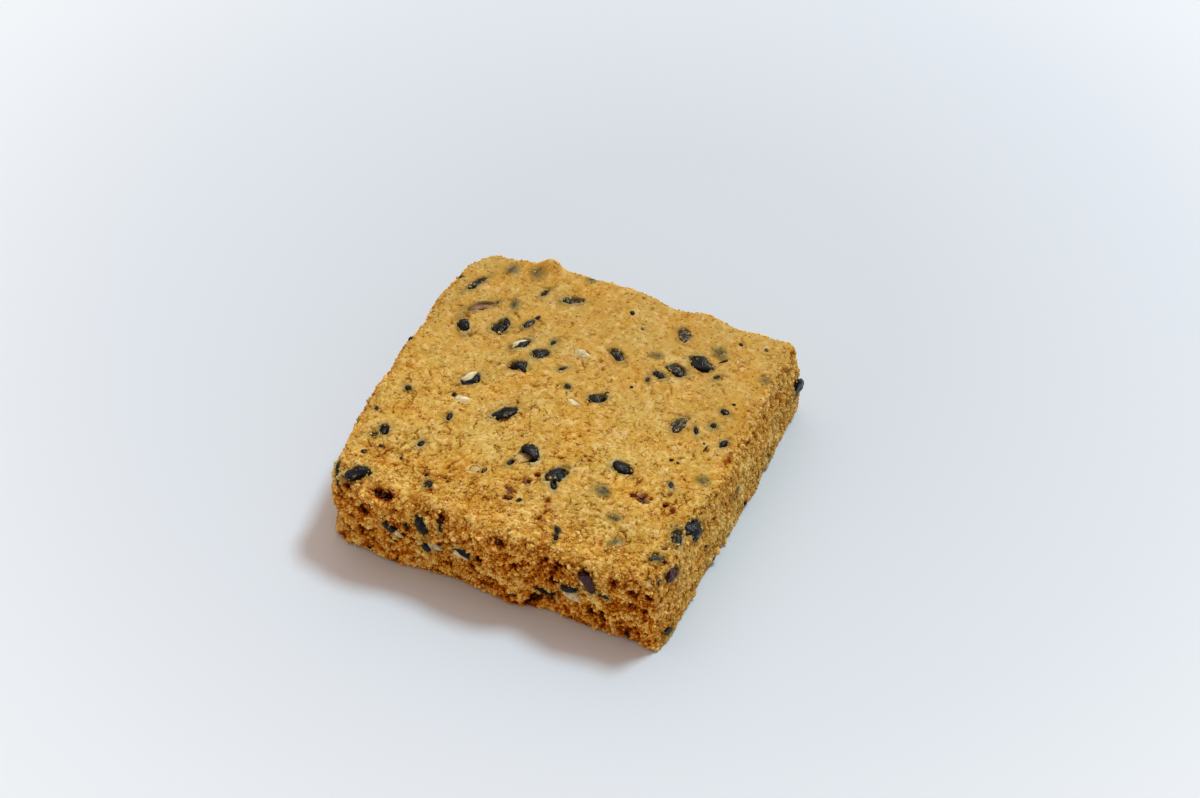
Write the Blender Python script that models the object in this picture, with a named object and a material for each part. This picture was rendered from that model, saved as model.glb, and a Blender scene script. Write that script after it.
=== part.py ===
"""Black sesame cookie: one square slab of short, crumbly dough with worn edges.

The slab is a primitive cube, cut into a grid and laid over a stack of rounded
outlines. Each side then gets its own bow, lean and lumps, the rims are worn
round, and the top is left gently uneven. The underside is flat.

Units: metres in the scene; the named sizes below are in millimetres.
Axes: +X along the front edge, +Y away from the front, +Z up.
Origin: bottom centre.
"""
import math

import bmesh
import bpy
import numpy as np

MM = 0.001

# ---- overall sizes (mm) ----
WIDTH = 38.9            # along X, side to side, before its bows and lumps
DEPTH = 37.0            # along Y, front to back, before its bows and lumps
HEIGHT = 9.85           # underside to the mean top

# ---- corner radii seen from above (mm) ----
RADIUS_FRONT_LEFT = 2.8
RADIUS_FRONT_RIGHT = 1.1
RADIUS_BACK_LEFT = 3.6
RADIUS_BACK_RIGHT = 1.2

# ---- wear of the upper rim: how far in, how far down (mm) ----
RIM_FRONT = (1.7, 1.5)
RIM_BACK = (0.9, 0.8)
RIM_LEFT = (1.5, 1.3)
RIM_RIGHT = (0.9, 0.8)
FOOT_RADIUS = 0.35      # the small round at the foot

# ---- lean of each side: how far the top stands in from the foot (mm) ----
LEAN_FRONT = 0.10
LEAN_BACK = 0.10
LEAN_LEFT = 0.05
LEAN_RIGHT = 0.60

# ---- splay: how much further out the back end of a side stands than its middle (mm) ----
SPLAY_LEFT = -0.15
SPLAY_RIGHT = 0.25

# ---- bow of each side: how far its middle stands out past its ends (mm) ----
BOW_FRONT = 0.30
BOW_BACK = 0.55
BOW_LEFT = 0.95
BOW_RIGHT = 0.25

# ---- lumps along each side: (place along it, half width, how far out) in mm ----
LUMPS_FRONT = ((-11.2, 2.2, 0.45), (-4.0, 2.0, -0.25), (2.4, 1.8, 0.50), (6.6, 1.6, -0.45), (18.4, 1.4, 0.45))
LUMPS_BACK = ((-14.0, 2.6, -0.40), (-4.0, 4.2, 0.35), (5.0, 2.0, -0.45), (8.3, 1.4, 0.30), (12.0, 2.0, -0.30))
LUMPS_LEFT = ((-13.5, 2.0, -0.15), (-3.0, 9.0, -0.25), (2.0, 1.8, 0.20), (9.6, 1.5, 0.10), (13.5, 3.0, -0.45))
LUMPS_RIGHT = ((-8.0, 1.5, -0.25), (5.2, 1.8, 0.20))

# ---- dents worn into the rim and the top: (x, y, z, radius, depth) in mm ----
DENTS = (
    (-18.4, -17.8, 10.1, 2.8, 0.60),     # front left corner
    (19.6, -18.4, 9.9, 2.6, 0.85),      # front right corner
    (6.0, -18.6, 9.9, 2.2, 0.30),       # bite in the front rim
    (-6.0, -18.9, 9.6, 2.2, 0.45),
    (-18.9, 17.0, 9.8, 2.6, 0.45),      # back left corner
    (-20.0, 5.0, 9.8, 2.4, 0.35),
    (19.6, 3.0, 9.8, 2.4, 0.35),
    (-13.0, -18.8, 5.2, 2.4, 0.35),
    (12.5, -18.8, 4.6, 2.2, 0.40),
    (-19.6, -18.0, 1.9, 3.0, 1.15),     # low on the front left corner
)

# ---- the lump of dough standing on the back rim (mm) ----
NUB_PLACE = (-9.7, 17.9)
NUB_RADII = (1.15, 0.95)
NUB_HEIGHT = 0.85

# ---- unevenness: (cell size, height) in mm, coarse to fine ----
TOP_WAVES = ((11.0, 0.42), (5.2, 0.26), (2.6, 0.15))
SIDE_WAVES = ((6.0, 0.34), (2.6, 0.24))
SEED = 5

# ---- grid of the slab ----
CELLS_X = 36
CELLS_Y = 34
ROWS_FOOT = 1
ROWS_WALL = 5
ROWS_RIM = 3

DOUGH_COLOUR = (0.545, 0.323, 0.077, 1.0)
DOUGH_ROUGHNESS = 0.85


def fade(t):
    """Smooth step from 0 to 1."""
    t = np.clip(t, 0.0, 1.0)
    return t * t * (3.0 - 2.0 * t)


def lattice(ix, iy, iz, seed):
    """A repeatable value from 0 to 1 for each lattice point."""
    h = (ix * 374761393 + iy * 668265263 + iz * 1440662683 + seed * 1274126177) & 0xFFFFFFFF
    h = ((h ^ (h >> 13)) * 1274126177) & 0xFFFFFFFF
    h = ((h ^ (h >> 16)) * 2246822519) & 0xFFFFFFFF
    return ((h ^ (h >> 15)) & 0xFFFFFF) / float(0x1000000)


def waves(x, y, z, cell, seed):
    """Smooth noise from -1 to 1 with features about one cell across."""
    gx, gy, gz = x / cell, y / cell, z / cell
    ix, iy, iz = (np.floor(g).astype(np.int64) for g in (gx, gy, gz))
    fx, fy, fz = fade(gx - ix), fade(gy - iy), fade(gz - iz)
    total = np.zeros_like(gx)
    for dx in (0, 1):
        for dy in (0, 1):
            for dz in (0, 1):
                weight = (fx if dx else 1 - fx) * (fy if dy else 1 - fy) * (fz if dz else 1 - fz)
                total += weight * lattice(ix + dx, iy + dy, iz + dz, seed)
    return total * 2.0 - 1.0


def lumps(place, table):
    """How far the lumps in the table stand out at each place along a side."""
    total = np.zeros_like(place)
    for centre, half, out in table:
        total += out * np.exp(-((place - centre) / half) ** 2)
    return total


def by_side(x, y, front, back, left, right):
    """Blend four values by how much each point faces each side."""
    wx, wy = np.abs(x) ** 6, np.abs(y) ** 6
    along_x = np.where(x < 0, left, right)
    along_y = np.where(y < 0, front, back)
    return (wx * along_x + wy * along_y) / np.maximum(wx + wy, 1e-9)


def outline(a, b):
    """The foot's outline where the square's rim is at (a, b): place and outward direction, in mm."""
    hx, hy = WIDTH / 2, DEPTH / 2
    radius = np.where(
        a < 0,
        np.where(b < 0, RADIUS_FRONT_LEFT, RADIUS_BACK_LEFT),
        np.where(b < 0, RADIUS_FRONT_RIGHT, RADIUS_BACK_RIGHT),
    )
    px, py = a * hx, b * hy
    qx, qy = np.clip(px, radius - hx, hx - radius), np.clip(py, radius - hy, hy - radius)
    dx, dy = px - qx, py - qy
    length = np.maximum(np.hypot(dx, dy), 1e-9)
    nx, ny = dx / length, dy / length
    x, y = qx + radius * nx, qy + radius * ny
    bow_x = 1.0 - (y / hy) ** 2
    bow_y = 1.0 - (x / hx) ** 2
    out_x = np.where(x < 0, BOW_LEFT * bow_x - BOW_LEFT * 0.6 + lumps(y, LUMPS_LEFT) + SPLAY_LEFT * y / hy,
                     BOW_RIGHT * bow_x - BOW_RIGHT * 0.6 + lumps(y, LUMPS_RIGHT) + SPLAY_RIGHT * y / hy)
    out_y = np.where(y < 0, BOW_FRONT * bow_y - BOW_FRONT * 0.6 + lumps(x, LUMPS_FRONT),
                     BOW_BACK * bow_y - BOW_BACK * 0.6 + lumps(x, LUMPS_BACK))
    x = x + np.sign(x) * out_x * (np.abs(x) / hx) ** 3
    y = y + np.sign(y) * out_y * (np.abs(y) / hy) ** 3
    return x, y, nx, ny


def profile(t, rim_in, rim_down, lean):
    """How far in from the foot's outline, and how high, at t from 0 (foot) to 1 (top)."""
    rows = float(ROWS_FOOT + ROWS_WALL + ROWS_RIM)
    t1, t2 = ROWS_FOOT / rows, (ROWS_FOOT + ROWS_WALL) / rows
    foot = np.clip(t / t1, 0, 1) * (math.pi / 2)
    wall = np.clip((t - t1) / (t2 - t1), 0, 1)
    rim = np.clip((t - t2) / (1 - t2), 0, 1) * (math.pi / 2)
    z = FOOT_RADIUS * (1 - np.cos(foot))
    z = z + wall * (HEIGHT - rim_down - FOOT_RADIUS) + rim_down * np.sin(rim)
    inset = FOOT_RADIUS * (1 - np.sin(foot)) + rim_in * (1 - np.cos(rim)) + lean * (z / HEIGHT)
    return inset, z


def slab(u, v, w):
    """Lay the cube's surface, with u, v and w from -1 to 1, over the cookie. Returns x, y, z in mm."""
    ring = np.maximum(np.abs(u), np.abs(v))
    safe = np.maximum(ring, 1e-9)
    a, b = np.where(ring < 1e-9, 1.0, u / safe), v / safe
    ox, oy, nx, ny = outline(a, b)
    rim_in = by_side(a, b, RIM_FRONT[0], RIM_BACK[0], RIM_LEFT[0], RIM_RIGHT[0])
    rim_down = by_side(a, b, RIM_FRONT[1], RIM_BACK[1], RIM_LEFT[1], RIM_RIGHT[1])
    lean = by_side(a, b, LEAN_FRONT, LEAN_BACK, LEAN_LEFT, LEAN_RIGHT)
    inset, z = profile((w + 1) / 2, rim_in, rim_down, lean)
    ex, ey = ox - nx * inset, oy - ny * inset

    # the top and the underside: a plain grid that turns into the outline near the rim
    pull = ring ** 4
    inner = 0.95
    gx, gy = u * WIDTH / 2 * inner, v * DEPTH / 2 * inner
    x = gx + pull * (ex - a * WIDTH / 2 * inner)
    y = gy + pull * (ey - b * DEPTH / 2 * inner)

    # outward direction, from straight up on the top to straight out on the walls
    up = fade((z - (HEIGHT - rim_down)) / rim_down)
    up = np.where(ring < 0.999, 1.0, up * up)
    on_top = w > 0.999
    flat = w < -0.999
    level = np.sqrt(np.maximum(1 - up * up, 0.0))
    mx, my, mz = nx * level, ny * level, up

    top_wave = sum(height * waves(x, y, z * 0, cell, SEED + i) for i, (cell, height) in enumerate(TOP_WAVES))
    side_wave = sum(height * waves(x, y, z, cell, SEED + 10 + i) for i, (cell, height) in enumerate(SIDE_WAVES))
    off_floor = fade((z - 0.2) / 1.6)
    shove = np.where(on_top, top_wave, side_wave * (1 - up) + top_wave * up) * off_floor
    for cx, cy, cz, radius, depth in DENTS:
        far = ((x - cx) ** 2 + (y - cy) ** 2 + (z - cz) ** 2) / radius ** 2
        shove = shove - depth * np.exp(-far) * off_floor
    x, y, z = x + mx * shove, y + my * shove, z + mz * shove

    near = ((x - NUB_PLACE[0]) / NUB_RADII[0]) ** 2 + ((y - NUB_PLACE[1]) / NUB_RADII[1]) ** 2
    raised = np.exp(-near ** 1.5) * fade((z - HEIGHT + 2.5) / 2.0)
    z = z + NUB_HEIGHT * raised
    y = y + 0.30 * raised
    z = np.where(flat, 0.0, np.maximum(z, 0.0))
    return x, y, z


def make_slab(name, collection):
    """Cut the cube into its grid and lay it over the cookie's form."""
    bpy.ops.mesh.primitive_cube_add(size=2.0)
    ob = bpy.context.active_object
    ob.name = name
    for other in list(ob.users_collection):
        other.objects.unlink(ob)
    collection.objects.link(ob)

    bm = bmesh.new()
    bm.from_mesh(ob.data)
    rows = ROWS_FOOT + ROWS_WALL + ROWS_RIM
    for axis, cells in enumerate((CELLS_X, CELLS_Y, rows)):
        for i in range(1, cells):
            place, normal = [0.0, 0.0, 0.0], [0.0, 0.0, 0.0]
            place[axis], normal[axis] = -1.0 + 2.0 * i / cells, 1.0
            geometry = bm.verts[:] + bm.edges[:] + bm.faces[:]
            bmesh.ops.bisect_plane(bm, geom=geometry, dist=1e-6, plane_co=place, plane_no=normal)

    # the underside stays one flat face
    under = [f for f in bm.faces if f.normal.z < -0.9]
    bmesh.ops.dissolve_faces(bm, faces=under, use_verts=False)

    verts = list(bm.verts)
    cube = np.array([v.co[:] for v in verts])
    x, y, z = slab(cube[:, 0], cube[:, 1], cube[:, 2])
    x = x - (x.min() + x.max()) / 2
    y = y - (y.min() + y.max()) / 2
    for vert, place in zip(verts, np.stack([x, y, z], 1) * MM):
        vert.co = place
    bmesh.ops.recalc_face_normals(bm, faces=bm.faces[:])
    for face in bm.faces:
        face.smooth = True
    bm.to_mesh(ob.data)
    bm.free()
    ob.data.name = name
    return ob


def dough_material():
    """Pale golden baked dough, dry and matte."""
    material = bpy.data.materials.new("baked_dough")
    material.use_nodes = True
    shader = material.node_tree.nodes["Principled BSDF"]
    shader.inputs["Base Color"].default_value = DOUGH_COLOUR
    shader.inputs["Roughness"].default_value = DOUGH_ROUGHNESS
    shader.inputs["Metallic"].default_value = 0.0
    return material


def main():
    for ob in list(bpy.data.objects):
        bpy.data.objects.remove(ob, do_unlink=True)
    collection = bpy.data.collections.new("black_sesame_cookie")
    bpy.context.scene.collection.children.link(collection)
    cookie = make_slab("cookie", collection)
    cookie.data.materials.append(dough_material())


main()
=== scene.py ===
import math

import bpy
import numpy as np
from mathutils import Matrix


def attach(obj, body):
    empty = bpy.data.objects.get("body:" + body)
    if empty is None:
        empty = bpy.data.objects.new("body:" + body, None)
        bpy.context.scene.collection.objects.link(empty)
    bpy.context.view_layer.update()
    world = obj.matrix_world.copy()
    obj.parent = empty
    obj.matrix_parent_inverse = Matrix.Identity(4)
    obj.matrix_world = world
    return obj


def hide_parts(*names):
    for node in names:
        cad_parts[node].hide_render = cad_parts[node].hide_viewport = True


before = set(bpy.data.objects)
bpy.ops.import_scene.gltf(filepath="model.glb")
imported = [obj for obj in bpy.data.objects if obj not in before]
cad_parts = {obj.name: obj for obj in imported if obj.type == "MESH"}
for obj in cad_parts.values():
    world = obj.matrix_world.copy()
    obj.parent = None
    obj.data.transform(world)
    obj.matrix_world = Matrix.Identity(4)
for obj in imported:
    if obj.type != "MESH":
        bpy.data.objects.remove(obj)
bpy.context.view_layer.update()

# Looks of the black sesame cookie: the crumbly dough with its pits and cracks,
# loose grains and crumbs, dark seeds, broken shells, pale kernels and specks.
# Sizes below are in millimetres in the frame of the CAD model: +X along the
# front edge, +Y away from the front, +Z up, origin at the bottom centre.

MM = 0.001

# ------------------------------------------------------------------ the slab
# The same named sizes as the CAD model's.
WIDTH, DEPTH, HEIGHT = 38.9, 37.0, 9.85
RADIUS_FRONT_LEFT, RADIUS_FRONT_RIGHT = 2.8, 1.1
RADIUS_BACK_LEFT, RADIUS_BACK_RIGHT = 3.6, 1.2
RIM_FRONT, RIM_BACK, RIM_LEFT, RIM_RIGHT = (1.7, 1.5), (0.9, 0.8), (1.5, 1.3), (0.9, 0.8)
FOOT_RADIUS = 0.35
LEAN_FRONT, LEAN_BACK, LEAN_LEFT, LEAN_RIGHT = 0.10, 0.10, 0.05, 0.60
SPLAY_LEFT, SPLAY_RIGHT = -0.15, 0.25
BOW_FRONT, BOW_BACK, BOW_LEFT, BOW_RIGHT = 0.30, 0.55, 0.95, 0.25
LUMPS_FRONT = ((-11.2, 2.2, 0.45), (-4.0, 2.0, -0.25), (2.4, 1.8, 0.50), (6.6, 1.6, -0.45), (18.4, 1.4, 0.45))
LUMPS_BACK = ((-14.0, 2.6, -0.40), (-4.0, 4.2, 0.35), (5.0, 2.0, -0.45), (8.3, 1.4, 0.30), (12.0, 2.0, -0.30))
LUMPS_LEFT = ((-13.5, 2.0, -0.15), (-3.0, 9.0, -0.25), (2.0, 1.8, 0.20), (9.6, 1.5, 0.10), (13.5, 3.0, -0.45))
LUMPS_RIGHT = ((-8.0, 1.5, -0.25), (5.2, 1.8, 0.20))
DENTS = (
    (-18.4, -17.8, 10.1, 2.8, 0.60),
    (19.6, -18.4, 9.9, 2.6, 0.85),
    (6.0, -18.6, 9.9, 2.2, 0.30),
    (-6.0, -18.9, 9.6, 2.2, 0.45),
    (-18.9, 17.0, 9.8, 2.6, 0.45),
    (-20.0, 5.0, 9.8, 2.4, 0.35),
    (19.6, 3.0, 9.8, 2.4, 0.35),
    (-13.0, -18.8, 5.2, 2.4, 0.35),
    (12.5, -18.8, 4.6, 2.2, 0.40),
    (-19.6, -18.0, 1.9, 3.0, 1.15),
)
NUB_PLACE, NUB_RADII, NUB_HEIGHT = (-9.7, 17.9), (1.15, 0.95), 0.85
TOP_WAVES = ((11.0, 0.42), (5.2, 0.26), (2.6, 0.15))
SIDE_WAVES = ((6.0, 0.34), (2.6, 0.24))
SEED = 5
CAD_CELLS = (36, 34)
CAD_ROWS = (1, 5, 3)

# The finer grid of the looks.
CELLS_X, CELLS_Y = 312, 300
ROWS_FOOT, ROWS_WALL, ROWS_RIM = 2, 54, 12
UNDER_STEP = 3
SKIRT = 3.5

# ------------------------------------------------------------- what lies in it
# The tables' origin, in the frame.
TABLES_AT = (-0.11, 0.02)

# Dark seeds (S), reddish ones (R), faded seeds under a film of dough (F), pale kernels (K), kernels
# in half a shell (KH), shell arcs (H) and specks (P):
# kind, face (T top, F front, R right), place on that face, turn in degrees,
# length, width, how far out (0 to 1), dough dust on it (0 to 1).
SEEDS = (
    ("S", "T", -16.0, 12.9, -116, 3.4, 1.0, 0.55, 0.25),
    ("F", "T", -13.2, 15.9, 24, 1.0, 1.1, 0.30, 0.60),
    ("F", "T", -10.5, 16.4, 49, 1.1, 1.3, 0.40, 0.50),
    ("R", "T", -14.1, 10.0, 37, 3.2, 1.0, 0.45, 0.80),
    ("F", "T", -10.8, 11.4, -69, 1.5, 0.9, 0.35, 0.60),
    ("S", "T", -8.6, 14.1, 62, 1.2, 0.5, 0.40, 0.30),
    ("S", "T", -5.5, 14.6, 22, 2.3, 1.1, 0.50, 0.35),
    ("S", "T", -14.7, 6.6, -54, 2.4, 1.5, 0.60, 0.10),
    ("S", "T", -11.0, 7.8, 46, 2.1, 1.9, 0.60, 0.15),
    ("S", "T", -10.5, 8.6, -50, 1.2, 0.7, 0.70, 0.10),
    ("S", "T", -8.3, 9.3, 59, 1.7, 0.8, 0.60, 0.10),
    ("P", "T", -7.7, 10.6, 53, 0.6, 0.4, 0.60, 0.00),
    ("KH", "T", -7.9, 6.5, 47, 2.6, 1.4, 0.60, 0.00),
    ("S", "T", -5.2, 5.9, 47, 2.2, 1.6, 0.60, 0.10),
    ("S", "T", -4.7, 8.0, 87, 1.1, 0.8, 0.50, 0.10),
    ("S", "T", -6.9, 3.4, -170, 2.2, 1.6, 0.75, 0.05),
    ("KH", "T", -10.6, 0.0, 55, 2.8, 1.8, 0.60, 0.00),
    ("K", "T", -10.0, -3.2, 19, 1.9, 1.3, 0.62, 0.00),
    ("P", "T", -11.2, -2.9, -17, 0.6, 0.6, 0.60, 0.00),
    ("S", "T", -5.2, -3.3, -143, 3.0, 1.7, 0.70, 0.15),
    ("S", "T", -10.2, -6.0, -82, 1.0, 0.7, 0.70, 0.00),
    ("S", "T", -16.0, -4.1, -22, 0.8, 0.7, 0.60, 0.10),
    ("S", "T", -15.8, -10.0, -81, 1.4, 1.3, 0.70, 0.10),
    ("S", "T", -16.5, -11.1, 31, 1.0, 0.7, 0.50, 0.30),
    ("P", "T", -17.9, -7.8, -15, 0.6, 0.4, 0.60, 0.30),
    ("P", "T", -19.1, 2.6, 59, 0.6, 0.5, 0.60, 0.20),
    ("P", "T", -18.2, 13.1, 65, 0.7, 0.6, 0.20, 0.20),
    ("S", "T", 7.6, 14.6, 127, 2.1, 1.6, 0.65, 0.50),
    ("S", "T", 2.3, 8.9, -37, 2.2, 1.4, 0.55, 0.35),
    ("F", "T", 6.1, 10.7, 15, 1.0, 0.7, 0.30, 0.70),
    ("S", "T", 7.4, 8.2, -8, 1.7, 1.1, 0.60, 0.20),
    ("S", "T", 6.5, 7.1, 98, 0.8, 0.5, 0.50, 0.10),
    ("S", "T", 9.0, 9.7, -19, 2.1, 1.8, 0.60, 0.40),
    ("S", "T", 10.9, 11.6, -20, 3.0, 2.0, 0.70, 0.25),
    ("F", "T", 12.2, 13.6, -31, 1.6, 1.2, 0.45, 0.45),
    ("P", "T", 12.9, 12.7, 41, 1.2, 0.3, 0.50, 0.30),
    ("S", "T", 13.1, 10.2, 58, 0.8, 0.5, 0.70, 0.00),
    ("S", "T", -2.2, 4.8, 43, 1.1, 0.6, 0.60, 0.00),
    ("S", "T", -0.6, 2.5, -40, 1.0, 0.7, 0.60, 0.00),
    ("S", "T", 2.9, 2.4, 43, 2.1, 1.6, 0.65, 0.25),
    ("P", "T", 3.4, 3.5, 67, 0.7, 0.3, 0.70, 0.00),
    ("K", "T", 1.1, 0.6, -13, 1.9, 0.9, 0.64, 0.00),
    ("K", "T", -1.2, 7.5, 5, 2.2, 1.4, 0.58, 0.05),
    ("S", "T", 12.1, 2.7, 74, 2.5, 1.5, 0.55, 0.50),
    ("S", "T", 14.0, 2.5, -57, 1.1, 0.5, 0.60, 0.10),
    ("S", "T", 15.4, 3.8, 10, 0.7, 0.7, 0.65, 0.00),
    ("S", "T", 15.8, 5.8, -14, 1.2, 0.8, 0.65, 0.20),
    ("P", "T", 16.4, 7.1, 11, 0.4, 0.3, 0.60, 0.00),
    ("S", "T", 17.3, 2.1, 72, 1.1, 0.9, 0.60, 0.00),
    ("P", "T", 15.4, 1.3, -18, 0.4, 0.3, 0.50, 0.00),
    ("P", "T", 15.8, 0.8, 81, 1.0, 0.2, 0.40, 0.20),
    ("S", "T", 3.3, -8.7, 68, 3.1, 2.1, 0.65, 0.15),
    ("S", "T", 3.6, -10.3, -55, 1.2, 0.8, 0.60, 0.00),
    ("S", "T", 9.0, -5.2, -11, 2.4, 1.7, 0.75, 0.05),
    ("P", "T", 9.8, -4.8, 31, 0.6, 0.3, 0.60, 0.00),
    ("F", "T", 8.4, -8.7, -22, 1.6, 1.3, 0.40, 0.60),
    ("S", "T", 14.5, -5.4, -54, 1.1, 0.6, 0.55, 0.40),
    ("F", "T", 17.4, -3.6, -22, 1.1, 1.0, 0.30, 0.70),
    ("S", "T", -15.5, -16.7, 25, 3.0, 1.9, 0.80, 0.00),
    ("S", "T", -17.9, -17.0, -81, 3.0, 0.7, 0.60, 0.10),
    ("S", "T", -8.3, -15.1, 94, 1.2, 1.0, 0.65, 0.10),
    ("P", "T", -8.9, -14.0, 39, 0.5, 0.4, 0.50, 0.10),
    ("S", "T", -11.4, -10.4, 79, 1.0, 0.9, 0.65, 0.00),
    ("K", "T", -4.7, -11.6, 38, 1.5, 1.3, 0.45, 0.85),
    ("P", "T", -3.7, -11.3, 60, 0.7, 0.5, 0.50, 0.30),
    ("K", "T", -0.7, -7.9, 54, 2.7, 1.8, 0.42, 0.85),
    ("H", "T", -0.3, -7.6, -26, 2.4, 1.9, 0.70, 0.15),
    ("S", "T", -1.6, -9.4, 88, 1.1, 0.7, 0.65, 0.00),
    ("P", "T", 1.2, -13.5, 53, 0.7, 0.4, 0.50, 0.20),
    ("P", "T", -16.3, -13.7, 48, 0.7, 0.5, 0.50, 0.20),
    ("P", "T", -12.4, -13.0, -17, 0.4, 0.3, 0.50, 0.20),
    ("P", "T", -15.0, -12.3, -13, 0.5, 0.4, 0.50, 0.30),
    ("F", "T", 11.0, -11.6, 13, 1.1, 0.7, 0.45, 0.50),
    ("F", "T", 12.2, -14.2, 47, 1.5, 0.9, 0.50, 0.35),
    ("S", "T", 18.8, -9.3, 70, 2.4, 1.9, 0.80, 0.00),
    ("S", "R", -8.7, 8.1, -15, 2.3, 1.5, 0.85, 0.00),
    ("S", "T", 17.7, -11.2, -62, 2.8, 1.3, 0.60, 0.35),
    ("P", "R", -7.1, 4.3, -55, 0.7, 0.4, 0.60, 0.00),
    ("F", "T", 16.9, -14.6, 4, 1.7, 1.4, 0.45, 0.50),
    ("R", "R", -14.9, 8.2, -30, 2.1, 1.6, 0.90, 0.00),
    ("F", "T", 17.9, -17.1, 24, 1.2, 1.0, 0.45, 0.30),
    ("P", "T", 13.7, 15.6, -7, 0.5, 0.4, 0.50, 0.30),
    ("P", "T", 16.5, 15.9, -11, 0.5, 0.4, 0.50, 0.30),
    ("P", "T", 5.5, 5.4, 24, 0.4, 0.3, 0.50, 0.10),
    ("P", "T", 3.2, 13.6, -11, 0.4, 0.3, 0.50, 0.30),
    ("P", "T", 1.3, 15.1, 4, 0.6, 0.5, 0.50, 0.30),
    ("F", "T", 18.1, 11.7, -1, 0.7, 0.6, 0.35, 0.50),
    ("P", "T", 13.2, -2.0, -6, 0.5, 0.4, 0.50, 0.10),
    ("P", "T", 14.0, -2.1, -10, 0.4, 0.3, 0.50, 0.10),
    ("F", "T", -4.9, 18.2, 17, 0.7, 0.6, 0.40, 0.50),
    ("S", "T", 6.3, -15.1, 145, 1.0, 0.7, 0.60, 0.10),
    ("S", "T", 6.5, -15.9, -79, 1.3, 0.5, 0.60, 0.10),
    ("S", "F", -11.3, 5.3, -15, 2.0, 1.5, 0.70, 0.00),
    ("K", "F", -10.2, 4.6, -8, 1.6, 1.1, 0.60, 0.00),
    ("P", "F", -10.8, 3.8, -31, 1.0, 0.3, 0.70, 0.00),
    ("S", "F", -9.2, 6.5, -74, 0.9, 0.6, 0.60, 0.10),
    ("S", "F", -7.5, 7.2, -76, 2.6, 1.5, 0.75, 0.00),
    ("P", "F", -7.9, 8.4, -54, 0.7, 0.4, 0.70, 0.00),
    ("S", "F", -5.3, 7.7, -87, 1.5, 0.6, 0.50, 0.20),
    ("P", "F", -5.6, 8.6, -34, 0.7, 0.4, 0.50, 0.20),
    ("K", "F", -6.1, 4.5, -2, 2.2, 1.5, 0.65, 0.05),
    ("H", "F", -6.9, 4.4, -57, 1.2, 1.1, 0.70, 0.00),
    ("KH", "F", -2.9, 5.2, -18, 2.5, 1.5, 0.75, 0.00),
    ("R", "F", 11.0, 7.1, -72, 3.5, 1.8, 0.70, 0.05),
    ("K", "F", 10.9, 6.7, -55, 1.7, 1.1, 0.60, 0.20),
    ("K", "F", 9.2, 4.1, -14, 2.8, 1.7, 0.70, 0.10),
    ("H", "F", 9.0, 4.8, 27, 2.3, 0.9, 0.70, 0.00),
    ("S", "F", 12.7, 5.6, -18, 1.4, 0.9, 0.70, 0.00),
    ("S", "F", 6.4, 2.3, -5, 1.7, 0.9, 0.60, 0.20),
    ("P", "F", 5.4, 2.8, -19, 1.4, 0.4, 0.60, 0.10),
    ("S", "R", -16.5, 1.1, -38, 1.8, 0.8, 0.75, 0.10),
    ("P", "F", 15.4, 0.9, -71, 1.0, 0.6, 0.70, 0.00),
    ("P", "F", 2.9, 1.7, -18, 0.8, 0.5, 0.50, 0.20),
    ("P", "F", -13.8, 0.6, -21, 0.6, 0.5, 0.50, 0.20),
    ("S", "R", 16.9, 4.8, -81, 2.8, 1.8, 1.02, 0.10),
    ("F", "R", 0.3, 4.9, -108, 2.0, 1.2, 0.50, 0.40),
    ("S", "R", 9.5, 0.8, 178, 1.4, 0.9, 0.50, 0.30),
    ("P", "R", 2.5, 1.1, -175, 0.8, 0.5, 0.50, 0.20),
    ("P", "R", -5.5, 0.8, 167, 0.9, 0.5, 0.50, 0.20),
    ("P", "R", 6.1, 2.2, 173, 0.8, 0.5, 0.40, 0.40),
)

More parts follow.
